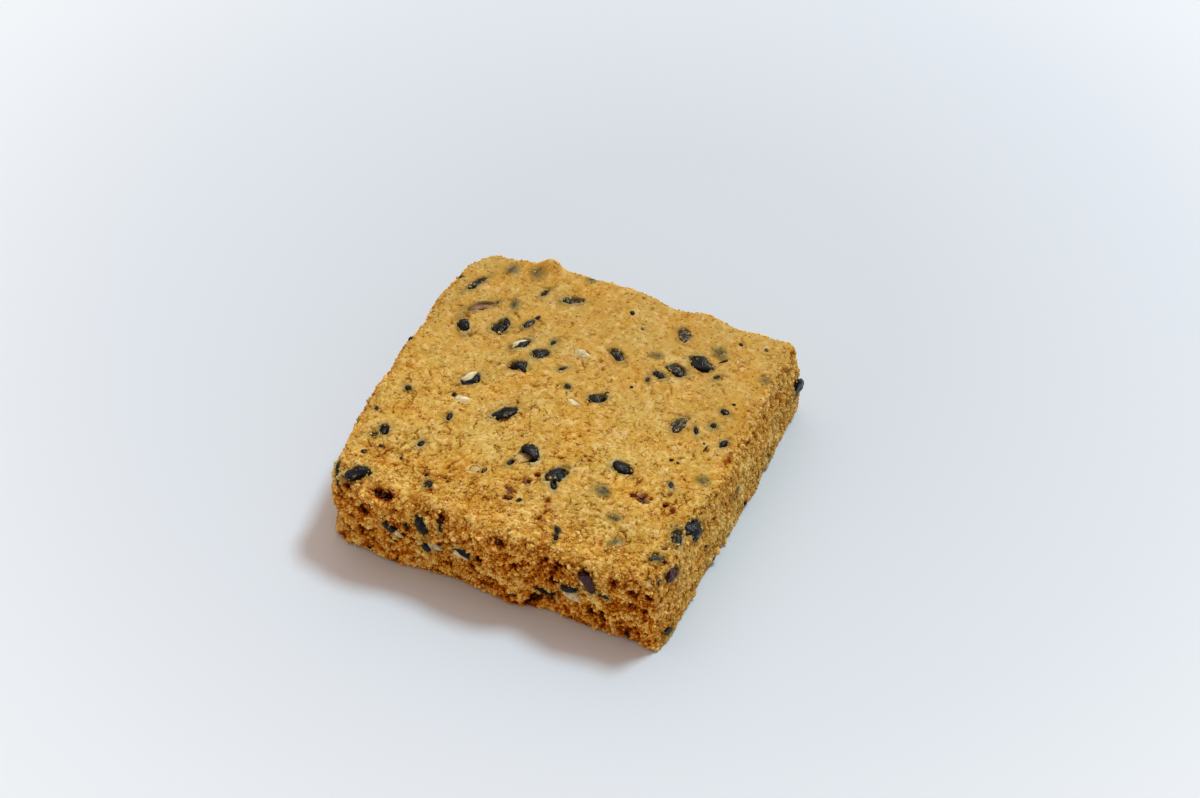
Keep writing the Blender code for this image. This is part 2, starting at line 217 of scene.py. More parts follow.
# Pits pressed into the dough, their bottoms painted dark as shade by the crumb's colour ramp: place, radius, depth.
PITS = (
    (-12.5, -18.1, 9.6, 0.72, 0.85), (-11.5, -18.0, 9.7, 0.70, 0.80), (-16.0, -17.8, 8.8, 0.53, 0.60), (-0.4, -12.5, 10.0, 0.53, 0.50),
    (0.0, -13.5, 10.0, 0.48, 0.60), (0.9, -10.9, 10.1, 0.53, 0.55), (1.5, -9.6, 10.1, 0.43, 0.45),
    (12.4, -7.8, 9.6, 0.80, 0.50), (12.8, -8.2, 9.6, 0.43, 0.50), (11.4, -7.9, 9.7, 0.37, 0.45),
    (7.5, -17.6, 7.5, 0.55, 0.70), (8.5, -18.0, 7.8, 0.38, 0.50), (6.3, -17.7, 7.4, 0.42, 0.45),
    (15.8, -18.1, 7.0, 0.53, 0.70), (17.6, -18.0, 7.5, 0.42, 0.45), (18.7, -17.0, 6.5, 0.45, 0.50),
    (1.0, 7.4, 10.1, 0.32, 0.35), (1.7, 6.5, 10.0, 0.32, 0.35), (14.9, -6.5, 9.8, 0.32, 0.40),
    (19.3, -5.0, 6.3, 0.43, 0.50), (18.4, 0.0, 9.7, 0.53, 0.45), (18.6, 0.7, 9.7, 0.43, 0.40),
    (16.0, 0.7, 9.6, 0.32, 0.30), (-14.3, -18.3, 5.9, 0.59, 0.70), (-15.0, -18.3, 6.6, 0.53, 0.60),
    (-5.5, -17.9, 9.0, 0.42, 0.40), (19.6, -10.4, 2.6, 0.53, 0.50), (11.3, -18.4, 2.5, 0.52, 0.55),
    (12.7, -18.5, 2.2, 0.45, 0.50), (5.2, -18.2, 1.4, 0.66, 0.75), (4.4, -18.7, 0.6, 0.52, 0.50),
    (-15.1, 7.8, 9.7, 0.53, 0.35), (3.8, -12.2, 9.8, 0.43, 0.35), (4.0, -14.5, 9.6, 0.53, 0.40),
    (-1.8, -18.8, 8.0, 0.43, 0.50), (1.6, -18.8, 8.9, 0.53, 0.50), (-1.1, -18.7, 5.0, 0.53, 0.60),
    (3.0, -18.9, 6.4, 0.43, 0.50), (15.0, -7.8, 9.7, 0.37, 0.40), (15.9, -8.2, 9.7, 0.37, 0.40),
    (1.4, 5.4, 10.1, 0.27, 0.30), (16.5, -13.9, 9.5, 0.37, 0.50), (17.0, -13.0, 9.5, 0.37, 0.50),
)


# ------------------------------------------------------------------ small maths
def fade(t):
    t = np.clip(t, 0.0, 1.0)
    return t * t * (3.0 - 2.0 * t)


def lattice(ix, iy, iz, seed):
    """A repeatable value from 0 to 1 for each lattice point."""
    h = (ix * 374761393 + iy * 668265263 + iz * 1440662683 + seed * 1274126177) & 0xFFFFFFFF
    h = ((h ^ (h >> 13)) * 1274126177) & 0xFFFFFFFF
    h = ((h ^ (h >> 16)) * 2246822519) & 0xFFFFFFFF
    return ((h ^ (h >> 15)) & 0xFFFFFF) / float(0x1000000)


def waves(x, y, z, cell, seed):
    """Smooth noise from -1 to 1 with features about one cell across."""
    gx, gy, gz = x / cell, y / cell, z / cell
    ix, iy, iz = (np.floor(g).astype(np.int64) for g in (gx, gy, gz))
    fx, fy, fz = fade(gx - ix), fade(gy - iy), fade(gz - iz)
    total = np.zeros_like(gx)
    for dx in (0, 1):
        for dy in (0, 1):
            for dz in (0, 1):
                weight = (fx if dx else 1 - fx) * (fy if dy else 1 - fy) * (fz if dz else 1 - fz)
                total += weight * lattice(ix + dx, iy + dy, iz + dz, seed)
    return total * 2.0 - 1.0


def noise(p, cell, seed):
    return waves(p[:, 0], p[:, 1], p[:, 2], cell, seed)


def clumps(p, cell, seed):
    """Distance to the nearest and the next of points scattered one a cell, in cells, and a value from 0 to 1 for the nearest."""
    g = p / cell
    base = np.floor(g).astype(np.int64)
    best = np.full(len(p), 9.0)
    second = np.full(len(p), 9.0)
    which = np.zeros(len(p))
    for dx in (-1, 0, 1):
        for dy in (-1, 0, 1):
            for dz in (-1, 0, 1):
                cx, cy, cz = base[:, 0] + dx, base[:, 1] + dy, base[:, 2] + dz
                jx = cx + 0.1 + 0.8 * lattice(cx, cy, cz, seed)
                jy = cy + 0.1 + 0.8 * lattice(cx, cy, cz, seed + 101)
                jz = cz + 0.1 + 0.8 * lattice(cx, cy, cz, seed + 202)
                far = np.sqrt((g[:, 0] - jx) ** 2 + (g[:, 1] - jy) ** 2 + (g[:, 2] - jz) ** 2)
                near = far < best
                second = np.where(near, best, np.minimum(second, far))
                which = np.where(near, lattice(cx, cy, cz, seed + 303), which)
                best = np.where(near, far, best)
    return best, second, which


def unit(v):
    return v / np.maximum(np.linalg.norm(v, axis=-1, keepdims=True), 1e-12)


# ------------------------------------------------------------------ the slab's form
def lumps(place, table):
    total = np.zeros_like(place)
    for centre, half, out in table:
        total += out * np.exp(-((place - centre) / half) ** 2)
    return total


def by_side(x, y, front, back, left, right):
    wx, wy = np.abs(x) ** 6, np.abs(y) ** 6
    along_x = np.where(x < 0, left, right)
    along_y = np.where(y < 0, front, back)
    return (wx * along_x + wy * along_y) / np.maximum(wx + wy, 1e-9)


def outline(a, b):
    hx, hy = WIDTH / 2, DEPTH / 2
    radius = np.where(
        a < 0,
        np.where(b < 0, RADIUS_FRONT_LEFT, RADIUS_BACK_LEFT),
        np.where(b < 0, RADIUS_FRONT_RIGHT, RADIUS_BACK_RIGHT),
    )
    px, py = a * hx, b * hy
    qx, qy = np.clip(px, radius - hx, hx - radius), np.clip(py, radius - hy, hy - radius)
    dx, dy = px - qx, py - qy
    length = np.maximum(np.hypot(dx, dy), 1e-9)
    nx, ny = dx / length, dy / length
    x, y = qx + radius * nx, qy + radius * ny
    bow_x = 1.0 - (y / hy) ** 2
    bow_y = 1.0 - (x / hx) ** 2
    out_x = np.where(x < 0, BOW_LEFT * bow_x - BOW_LEFT * 0.6 + lumps(y, LUMPS_LEFT) + SPLAY_LEFT * y / hy,
                     BOW_RIGHT * bow_x - BOW_RIGHT * 0.6 + lumps(y, LUMPS_RIGHT) + SPLAY_RIGHT * y / hy)
    out_y = np.where(y < 0, BOW_FRONT * bow_y - BOW_FRONT * 0.6 + lumps(x, LUMPS_FRONT),
                     BOW_BACK * bow_y - BOW_BACK * 0.6 + lumps(x, LUMPS_BACK))
    x = x + np.sign(x) * out_x * (np.abs(x) / hx) ** 3
    y = y + np.sign(y) * out_y * (np.abs(y) / hy) ** 3
    return x, y, nx, ny


def profile(t, rim_in, rim_down, lean):
    rows = float(sum(CAD_ROWS))
    t1, t2 = CAD_ROWS[0] / rows, (CAD_ROWS[0] + CAD_ROWS[1]) / rows
    foot = np.clip(t / t1, 0, 1) * (math.pi / 2)
    wall = np.clip((t - t1) / (t2 - t1), 0, 1)
    rim = np.clip((t - t2) / (1 - t2), 0, 1) * (math.pi / 2)
    z = FOOT_RADIUS * (1 - np.cos(foot))
    z = z + wall * (HEIGHT - rim_down - FOOT_RADIUS) + rim_down * np.sin(rim)
    inset = FOOT_RADIUS * (1 - np.sin(foot)) + rim_in * (1 - np.cos(rim)) + lean * (z / HEIGHT)
    return inset, z


def slab(u, v, w):
    """Lay the cube's surface over the cookie, as the CAD model does, without the shift to its centre."""
    ring = np.maximum(np.abs(u), np.abs(v))
    safe = np.maximum(ring, 1e-9)
    a, b = np.where(ring < 1e-9, 1.0, u / safe), v / safe
    ox, oy, nx, ny = outline(a, b)
    rim_in = by_side(a, b, RIM_FRONT[0], RIM_BACK[0], RIM_LEFT[0], RIM_RIGHT[0])
    rim_down = by_side(a, b, RIM_FRONT[1], RIM_BACK[1], RIM_LEFT[1], RIM_RIGHT[1])
    lean = by_side(a, b, LEAN_FRONT, LEAN_BACK, LEAN_LEFT, LEAN_RIGHT)
    inset, z = profile((w + 1) / 2, rim_in, rim_down, lean)
    ex, ey = ox - nx * inset, oy - ny * inset
    pull = ring ** 4
    inner = 0.95
    gx, gy = u * WIDTH / 2 * inner, v * DEPTH / 2 * inner
    x = gx + pull * (ex - a * WIDTH / 2 * inner)
    y = gy + pull * (ey - b * DEPTH / 2 * inner)
    up = fade((z - (HEIGHT - rim_down)) / rim_down)
    up = np.where(ring < 0.999, 1.0, up * up)
    on_top = w > 0.999
    flat = w < -0.999
    level = np.sqrt(np.maximum(1 - up * up, 0.0))
    mx, my, mz = nx * level, ny * level, up
    top_wave = sum(height * waves(x, y, z * 0, cell, SEED + i) for i, (cell, height) in enumerate(TOP_WAVES))
    side_wave = sum(height * waves(x, y, z, cell, SEED + 10 + i) for i, (cell, height) in enumerate(SIDE_WAVES))
    off_floor = fade((z - 0.2) / 1.6)
    shove = np.where(on_top, top_wave, side_wave * (1 - up) + top_wave * up) * off_floor
    for cx, cy, cz, radius, depth in DENTS:
        far = ((x - cx) ** 2 + (y - cy) ** 2 + (z - cz) ** 2) / radius ** 2
        shove = shove - depth * np.exp(-far) * off_floor
    x, y, z = x + mx * shove, y + my * shove, z + mz * shove
    near = ((x - NUB_PLACE[0]) / NUB_RADII[0]) ** 2 + ((y - NUB_PLACE[1]) / NUB_RADII[1]) ** 2
    raised = np.exp(-near ** 1.5) * fade((z - HEIGHT + 2.5) / 2.0)
    z = z + NUB_HEIGHT * raised
    y = y + 0.30 * raised
    z = np.where(flat, 0.0, np.maximum(z, 0.0))
    return np.stack([x, y, z], 1)


def perimeter(nx, ny):
    """Grid places (i, j) round the square's rim, anticlockwise from the front left corner."""
    i = np.concatenate([np.arange(nx), np.full(ny, nx), np.arange(nx, 0, -1), np.zeros(ny, int)])
    j = np.concatenate([np.zeros(nx, int), np.arange(ny), np.full(nx, ny), np.arange(ny, 0, -1)])
    return i, j


def cad_shift():
    """How far the CAD model moved its slab so that its box is centred."""
    nx, ny = CAD_CELLS
    i, j = perimeter(nx, ny)
    u, v = -1 + 2 * i / nx, -1 + 2 * j / ny
    rows = sum(CAD_ROWS)
    p = np.concatenate([slab(u, v, np.full(len(u), -1 + 2 * r / rows)) for r in range(rows + 1)])
    return -(p.min(0) + p.max(0))[:2] / 2


def row_places():
    """t of each row of the walls, from the foot to just under the top."""
    rows = float(sum(CAD_ROWS))
    t1, t2 = CAD_ROWS[0] / rows, (CAD_ROWS[0] + CAD_ROWS[1]) / rows
    return np.concatenate([
        np.linspace(0, t1, ROWS_FOOT, endpoint=False),
        np.linspace(t1, t2, ROWS_WALL, endpoint=False),
        np.linspace(t2, 1, ROWS_RIM, endpoint=False),
    ])


class Slab:
    """The fine grid: top, walls and underside as one closed surface."""

    def __init__(self):
        nx, ny = CELLS_X, CELLS_Y
        ti, tj = np.meshgrid(np.arange(nx + 1), np.arange(ny + 1))
        ti, tj = ti.ravel(), tj.ravel()
        parts = [slab(-1 + 2 * ti / nx, -1 + 2 * tj / ny, np.ones(len(ti)))]
        ri, rj = perimeter(nx, ny)
        ru, rv = -1 + 2 * ri / nx, -1 + 2 * rj / ny
        rows = row_places()
        for t in rows:
            parts.append(slab(ru, rv, np.full(len(ru), 2 * t - 1)))
        step = UNDER_STEP
        ci, cj = np.meshgrid(np.arange(step, nx, step), np.arange(step, ny, step))
        ci, cj = ci.ravel(), cj.ravel()
        parts.append(slab(-1 + 2 * ci / nx, -1 + 2 * cj / ny, np.full(len(ci), -1.0)))
        p = np.concatenate(parts)
        p[:, :2] += cad_shift()
        self.p = p
        n_top, n_ring, n_rows = len(ti), len(ri), len(rows)
        self.n_top = n_top

        # faces of the top
        a = (np.arange(ny)[:, None] * (nx + 1) + np.arange(nx)[None, :]).ravel()
        top = np.stack([a, a + 1, a + nx + 2, a + nx + 1], 1)
        # faces of the walls
        k = np.arange(n_ring)
        after = (k + 1) % n_ring
        rim = rj * (nx + 1) + ri
        walls = []
        for r in range(n_rows):
            low = n_top + r * n_ring + k
            low2 = n_top + r * n_ring + after
            high = rim[k] if r == n_rows - 1 else n_top + (r + 1) * n_ring + k
            high2 = rim[after] if r == n_rows - 1 else n_top + (r + 1) * n_ring + after
            walls.append(np.stack([low, low2, high2, high], 1))
        walls = np.concatenate(walls)
        # faces of the underside, coarser, with all the rim's points kept
        index = {}
        for place, (i, j) in enumerate(zip(ri, rj)):
            index[(int(i), int(j))] = n_top + place
        start = n_top + n_rows * n_ring
        for place, (i, j) in enumerate(zip(ci, cj)):
            index[(int(i), int(j))] = start + place
        under = []
        for j in range(0, ny, step):
            for i in range(0, nx, step):
                loop = [(i, j)]
                if i == 0:
                    loop += [(i, j + k) for k in range(1, step)]
                loop.append((i, j + step))
                if j + step == ny:
                    loop += [(i + k, j + step) for k in range(1, step)]
                loop.append((i + step, j + step))
                if i + step == nx:
                    loop += [(i + step, j + step - k) for k in range(1, step)]
                loop.append((i + step, j))
                if j == 0:
                    loop += [(i + step - k, j) for k in range(1, step)]
                under.append([index[q] for q in loop])
        self.top, self.walls, self.under = top, walls, under
        self.quads = np.concatenate([top, walls])
        self.rim = rim
        self.n_ring, self.n_rows = n_ring, n_rows
        self.ri, self.rj, self.ti, self.tj = ri, rj, ti, tj
        self.is_under = np.zeros(len(p), bool)
        self.is_under[start:] = True

    def normals(self, p):
        out = np.zeros_like(p)
        q = self.quads
        n = np.cross(p[q[:, 2]] - p[q[:, 0]], p[q[:, 3]] - p[q[:, 1]])
        for c in range(4):
            np.add.at(out, q[:, c], n)
        foot = slice(self.n_top, self.n_top + self.n_ring)
        out[foot, 2] = 0.0
        out[self.is_under] = (0, 0, -1)
        return unit(out)


# ------------------------------------------------------------------ crumb relief
def coarseness(p, n):
    """0 where the dough is fine and close, as on the middle of the top, to 1 where it is crumbly."""
    side = 1 - fade((n[:, 2] - 0.45) / 0.45)
    side = side * (1 - 0.35 * np.maximum(fade(np.abs(n[:, 0]) * 1.4), fade(n[:, 1] * 1.4)))
    front = 0.62 * fade((-p[:, 1] - 8.5) / 8.5)
    right = 0.50 * fade((p[:, 0] - 15.5) / 4.0)
    left = 0.35 * fade((-p[:, 0] - 16.0) / 3.5)
    back = 0.25 * fade((p[:, 1] - 16.0) / 2.5)
    c = np.maximum.reduce([side, front, right, left, back])
    c = c * (0.82 + 0.30 * noise(p, 4.5, 61))
    return np.clip(np.where(n[:, 2] < -0.5, 0.15, c), 0.03, 1.0)


def calmness(p, n):
    """How smooth the top is: not at all at its front, most at its back."""
    return fade((n[:, 2] - 0.55) / 0.35) * (0.25 + 0.75 * fade((p[:, 1] + 7.0) / 19.0))


def warped(p, cell, amount, seed):
    """The points moved about by smooth noise, so that what is drawn from them is uneven."""
    return p + amount * np.stack([noise(p, cell, seed), noise(p, cell, seed + 1), noise(p, cell, seed + 2)], 1)


def relief(p, n):
    """How far the crumb stands out of the smooth slab, in mm, and a value from 0 to 1 for each grain and lump."""
    c = coarseness(p, n)
    near1, next1, grain = clumps(warped(p, 0.45, 0.10, 111), 0.40, 11)
    near2, next2, lump = clumps(warped(p, 0.80, 0.26, 121), 0.78, 12)
    near3, next3, big = clumps(warped(p, 1.70, 0.60, 131), 1.75, 13)
    gap1, gap2, gap3 = next1 - near1, next2 - near2, next3 - near3
    dome = lambda near: 0.55 - np.clip(near / 0.85, 0, 1) ** 2
    groove = lambda gap, width: np.exp(-(gap / width) ** 2)
    lift = (0.030 + 0.098 * c) * dome(near1) + (0.030 + 0.098 * c) * (2 * grain - 1)
    lift -= (0.026 + 0.070 * c) * groove(gap1, 0.14)
    lift += (0.012 + 0.075 * c) * dome(near2) + (0.014 + 0.095 * c) * (2 * lump - 1)
    lift -= np.clip(0.1 + 1.6 * noise(p, 2.2, 15), 0, 1) * (0.060 + 0.210 * c) * groove(gap2, 0.09)
    lift += 0.050 * c * dome(near3) + 0.070 * c * (2 * big - 1)
    lift += 0.046 * noise(p, 0.30, 14) + 0.034 * noise(p, 0.55, 18) + (0.035 + 0.04 * c) * noise(p, 1.1, 21)
    lift *= 1 - 0.50 * calmness(p, n)
    # pits and, where the dough is coarse, small hollows
    f4, _, has4 = clumps(p + 11.7, 1.7, 16)
    lift -= np.where(has4 > 0.66, 1.0, 0.0) * np.exp(-(f4 / 0.24) ** 2) * (0.06 + 0.34 * c)
    f5, _, has5 = clumps(p + 17.2, 0.9, 17)
    lift -= np.where(has5 > 0.70, 1.0, 0.0) * np.exp(-(f5 / 0.22) ** 2) * (0.18 + 0.16 * c)
    f7, _, has7 = clumps(p + 3.1, 0.52, 26)
    lift -= np.where(has7 > 0.72, 1.0, 0.0) * np.exp(-(f7 / 0.22) ** 2) * 0.15
    f6, _, has6 = clumps(warped(p, 0.9, 0.40, 141) + 5.5, 2.3, 24)
    steep = 1 - 0.92 * fade((n[:, 2] - 0.05) / 0.35)
    lift -= np.clip((has6 - 0.50) * 2.6, 0, 1) * np.exp(-(f6 / 0.20) ** 4) * 0.60 * steep * c ** 1.5
    return lift - 0.07 * c, c, grain, lump


def cut_cracks(form, normals, lift):
    """Short thin cracks, each a bent line from a chance place."""
    rng = np.random.default_rng(67)
    p = form.p
    cut = np.zeros(len(p))
    on_top = np.nonzero(normals[:, 2] > 0.6)[0]
    on_side = np.nonzero(np.abs(normals[:, 2]) < 0.6)[0]
    front_more = 0.45 + fade((4.0 - p[on_top, 1]) / 16.0)
    kinds = (
        (rng.choice(on_top, 250, p=front_more / front_more.sum()), 0.5, 2.8, 0.25, 0.08),
        (rng.choice(on_side, 220), 0.5, 2.4, 0.46, 0.11),
    )
    for starts, shortest, longest, depth, half in kinds:
        for start in starts:
            out = normals[start]
            way = rng.normal(size=3)
            way = unit(way - out * (way @ out))
            side = np.cross(out, way)
            length = shortest + (longest - shortest) * rng.random() ** 2.2
            steps = max(2, int(round(length / 0.28)))
            bend = 0.0
            path = [p[start]]
            for _ in range(steps):
                bend += rng.normal(0, 0.42)
                path.append(path[-1] + 0.28 * (math.cos(bend) * way + math.sin(bend) * side))
            path = np.array(path)
            middle = path.mean(0)
            ids = np.nonzero(((p - middle) ** 2).sum(1) < (length / 2 + 0.7) ** 2)[0]
            q = p[ids]
            here = np.zeros(len(ids))
            for k in range(steps):
                a, b = path[k], path[k + 1]
                t = np.clip((q - a) @ (b - a) / ((b - a) @ (b - a)), 0, 1)
                far = np.linalg.norm(q - a - t[:, None] * (b - a), axis=1)
                share = 1 - 0.5 * abs(2 * (k + 0.5) / steps - 1)
                here = np.maximum(here, share * np.exp(-(far / (half * share)) ** 2))
            cut[ids] = np.maximum(cut[ids], depth * here)
    lift -= cut


class Lying:
    """Where the seeds lie on the slab: centre, outward direction, and directions along and across."""

    def __init__(self, form, normals):
        self.rows = []
        rng = np.random.default_rng(29)
        rows = list(SEEDS) + unseen_seeds(rng)
        p, n = form.p, normals
        faces = {
            "T": ((0, 1), n[:, 2] > 0.5), "U": ((0, 1), n[:, 2] < -0.5),
            "F": ((0, 2), (n[:, 1] < -0.45) & (n[:, 2] > -0.5)), "B": ((0, 2), (n[:, 1] > 0.45) & (n[:, 2] > -0.5)),
            "R": ((1, 2), (n[:, 0] > 0.45) & (n[:, 2] > -0.5)), "L": ((1, 2), (n[:, 0] < -0.45) & (n[:, 2] > -0.5)),
        }
        sets = {key: (axes, np.nonzero(mask)[0]) for key, (axes, mask) in faces.items()}
        for kind, face, a, b, turn, length, width, out, dust in rows:
            axes, ids = sets[face]
            here = p[ids][:, axes]
            a, b = a + TABLES_AT[axes[0]], b + (TABLES_AT[1] if axes[1] == 1 else 0.0)
            length, width = trimmed(kind, length, width)
            near = ids[np.argmin((here[:, 0] - a) ** 2 + (here[:, 1] - b) ** 2)]
            close = ids[((p[ids] - p[near]) ** 2).sum(1) < 0.8 ** 2]
            normal = unit(n[close].mean(0))
            flat = np.zeros(3)
            flat[axes[0]], flat[axes[1]] = math.cos(math.radians(turn)), math.sin(math.radians(turn))
            along = unit(flat - normal * (flat @ normal))
            across = np.cross(normal, along)
            self.rows.append((kind, p[near].copy(), normal, along, across, length, width, out, dust, face))


def trimmed(kind, length, width):
    """The size of the piece itself, without the stain round it."""
    if kind == "R":
        return length, width * 0.95
    if kind in ("S", "F"):
        return min(length, 3.3) * 0.96, min(width, 1.95) * 0.88
    if kind == "K":
        return length * 0.88, width * 0.80
    if kind == "KH":
        return length * 0.86, width * 0.82
    return length, width


def unseen_seeds(rng):
    """Seeds on the left, back and under sides, as many for their size as on the sides that show."""
    rows = []

    def pick(face, n, lo, hi, apart):
        places = []
        while len(places) < n:
            q = rng.uniform(lo, hi)
            if all(np.hypot(*(q - r)) > apart for r in places):
                places.append(q)
        for q in places:
            kind = rng.choice(["S", "S", "S", "F", "K", "KH", "P", "P"])
            turn = rng.uniform(-180, 180)
            if kind == "P":
                length, width = rng.uniform(0.4, 0.9), rng.uniform(0.25, 0.5)
            else:
                length = rng.uniform(1.4, 3.1)
                width = min(length * rng.uniform(0.5, 0.7), 1.9)
            dust = rng.uniform(0.45, 0.7) if kind == "F" else rng.uniform(0.0, 0.3)
            out = rng.uniform(0.3, 0.45) if kind == "F" else rng.uniform(0.5, 0.75)
            rows.append((str(kind), face, float(q[0]), float(q[1]), float(turn), float(length), float(width), float(out), float(dust)))

    pick("L", 17, (-16.5, 1.6), (15.5, 8.6), 2.6)
    pick("B", 18, (-16.5, 1.6), (17.5, 8.6), 2.6)
    pick("U", 46, (-17.5, -16.5), (17.5, 16.5), 3.6)
    return rows


def footprint(p, row, grow=0.0):
    """How far each point is from a seed's middle, as a share of its half sizes, and how far along it towards the tip."""
    kind, centre, normal, along, across, length, width, out, dust, face = row
    d = p - centre
    a, b, c = d @ along, d @ across, d @ normal
    la, lb = length / 2 + grow, width / 2 + grow
    far = np.sqrt((a / la) ** 2 + (b / lb) ** 2 + (c / 1.6) ** 4)
    return far, a / la, b / lb


def seat(p, n, lift, stain, dark, lying):
    """Press the seeds' seats into the dough and stain it round them."""
    for row in lying.rows:
        kind, centre, normal, along, across, length, width, out, dust, face = row
        if kind == "P":
            ids = np.nonzero((((p - centre) ** 2).sum(1) < (length * 0.9 + 0.4) ** 2) & (n @ normal > 0.3))[0]
            far, _, _ = footprint(p[ids], row, 0.05)
            stain[ids] = np.maximum(stain[ids], 0.45 * np.exp(-(far / 1.25) ** 2))
            continue
        ids = np.nonzero((((p - centre) ** 2).sum(1) < (length * 0.8 + 1.1) ** 2) & (n @ normal > 0.25))[0]
        if not len(ids):
            continue
        far, _, _ = footprint(p[ids], row)
        facing = fade((n[ids] @ normal - 0.25) / 0.35)
        far = far + 2.0 * (1 - facing)
        ragged = far + 0.24 * noise(p[ids], 0.75, 71) + 0.14 * noise(p[ids], 0.34, 73)
        reach = min(length, width + 0.5)
        if kind in ("S", "F", "KH", "H", "R"):
            glow = np.exp(-(np.clip(ragged - 0.85, 0, None) * reach / 1.15) ** 2)
            strength = 0.95 if kind == "F" else 0.88
            stain[ids] = np.maximum(stain[ids], strength * glow)
        else:
            glow = np.exp(-(np.clip(ragged - 0.85, 0, None) / 0.30) ** 2)
            stain[ids] = np.maximum(stain[ids], 0.22 * glow)
        if kind == "F":
            lift[ids] += 0.05 * np.exp(-(far / 0.9) ** 2)
            veil = 0.62 + 0.55 * noise(p[ids], 0.42, 72) + 0.30 * noise(p[ids], 0.2, 74)
            dark[ids] = np.maximum(dark[ids], np.clip(veil, 0.1, 0.95) * np.exp(-(ragged / 0.82) ** 4))
        else:
            inside = 1 - fade((ragged - 0.78) / 0.18)
            lift[ids] = lift[ids] * (1 - inside) - 0.32 * inside
            lift[ids] += (0.05 + 0.16 * np.clip(noise(p[ids], 0.9, 75) + 0.25, 0, 1)) * np.exp(-((ragged - 1.12) / 0.20) ** 2)
            torn = fade((noise(p[ids], 0.8, 76) - 0.15) / 0.3)
            lift[ids] -= 0.22 * torn * np.exp(-((far - 1.10) / 0.12) ** 2)


def press_pits(p, lift):
    for x, y, z, radius, depth in PITS:
        d2 = (p[:, 0] - x - TABLES_AT[0]) ** 2 + (p[:, 1] - y - TABLES_AT[1]) ** 2 + (p[:, 2] - z) ** 2
        ids = np.nonzero(d2 < (radius * 2.6) ** 2)[0]
        if len(ids):
            ragged = 0.88 * (1 + 0.28 * noise(p[ids], 0.9, 81) + 0.20 * noise(p[ids], 0.4, 82))
            if y > -16.5:
                ragged, depth = 0.95 * ragged, 0.55 * depth
            lift[ids] -= 1.20 * depth * np.exp(-(d2[ids] / (radius * ragged) ** 2) ** 1.8)


def shade_warmth(p, n):
    """Where the dough is painted a deeper orange as shade and as the glow of light bounced and scattered in the crumb:
    most on the front, less on the left and back, little on the right side that the key light reaches, hardly on the
    top.
    """
    level = fade((0.96 - n[:, 2]) / 0.75)
    front = fade((-n[:, 1] - 0.35) / 0.60) * (1 - 0.32 * fade((p[:, 2] - 6.0) / 3.2))
    left = 0.60 * fade((-n[:, 0] - 0.30) / 0.60)
    back = 0.50 * fade((n[:, 1] - 0.30) / 0.60)
    right = 0.10 * fade((n[:, 0] - 0.30) / 0.60)
    low_rim = 0.22 * fade((-p[:, 1] - 12.0) / 5.0)
    return np.clip(np.maximum.reduce([front, left, back, right, low_rim]) * np.maximum(level, 0.9), 0, 1)


# ------------------------------------------------------------------ meshes
def make_mesh(name, points, faces, uv, values, material, normals=None, smooth=True):
    """faces: an array of equal faces, or a list of index lists. values: one number a point for each name."""
    mesh = bpy.data.meshes.new(name)
    if isinstance(faces, np.ndarray):
        counts = np.full(len(faces), faces.shape[1], np.int32)
        corners = faces.astype(np.int32).ravel()
    else:
        counts = np.array([len(f) for f in faces], np.int32)
        corners = np.fromiter((i for f in faces for i in f), np.int32, int(counts.sum()))
    mesh.vertices.add(len(points))
    mesh.vertices.foreach_set("co", (points * MM).astype(np.float32).ravel())
    mesh.loops.add(len(corners))
    mesh.loops.foreach_set("vertex_index", corners)
    mesh.polygons.add(len(counts))
    mesh.polygons.foreach_set("loop_start", np.concatenate([[0], np.cumsum(counts)[:-1]]).astype(np.int32))
    mesh.update(calc_edges=True)
    layer = mesh.uv_layers.new(name="OFBake")
    layer.uv.foreach_set("vector", uv.astype(np.float32).ravel())
    for key, value in values.items():
        a = mesh.attributes.new(key, "FLOAT", "POINT")
        a.data.foreach_set("value", np.ascontiguousarray(value, np.float32))
    if smooth:
        mesh.shade_smooth()
    else:
        mesh.shade_flat()
    mesh.validate()
    if normals is not None:
        mesh.normals_split_custom_set_from_vertices(normals.astype(np.float32))
    ob = bpy.data.objects.new(name, mesh)
    bpy.context.scene.collection.objects.link(ob)
    mesh.materials.append(material)
    return ob


def disc_uv(count, x, y, radius):
    """A skirt and a fan laid out as a disc: a ring of quads, then a triangle for each step round it."""
    a = 2 * math.pi * np.arange(count + 1) / count
    ring = np.stack([np.cos(a), np.sin(a)], 1)
    rim, low = (x, y) + radius * ring, (x, y) + 0.6 * radius * ring
    quads = np.stack([rim[:-1], rim[1:], low[1:], low[:-1]], 1).reshape(-1, 2)
    fan = np.stack([low[:-1], low[1:], np.broadcast_to((x, y), (count, 2))], 1).reshape(-1, 2)
    return np.concatenate([quads, fan])


def top_uv(form):
    q = form.top
    u, v = form.ti[q] / CELLS_X, form.tj[q] / CELLS_Y
    grid = np.stack([0.01 + 0.93 * u, 0.01 + 0.93 * v], -1).reshape(-1, 2)
    return np.concatenate([grid, disc_uv(form.n_ring, 0.97, 0.97, 0.02)])


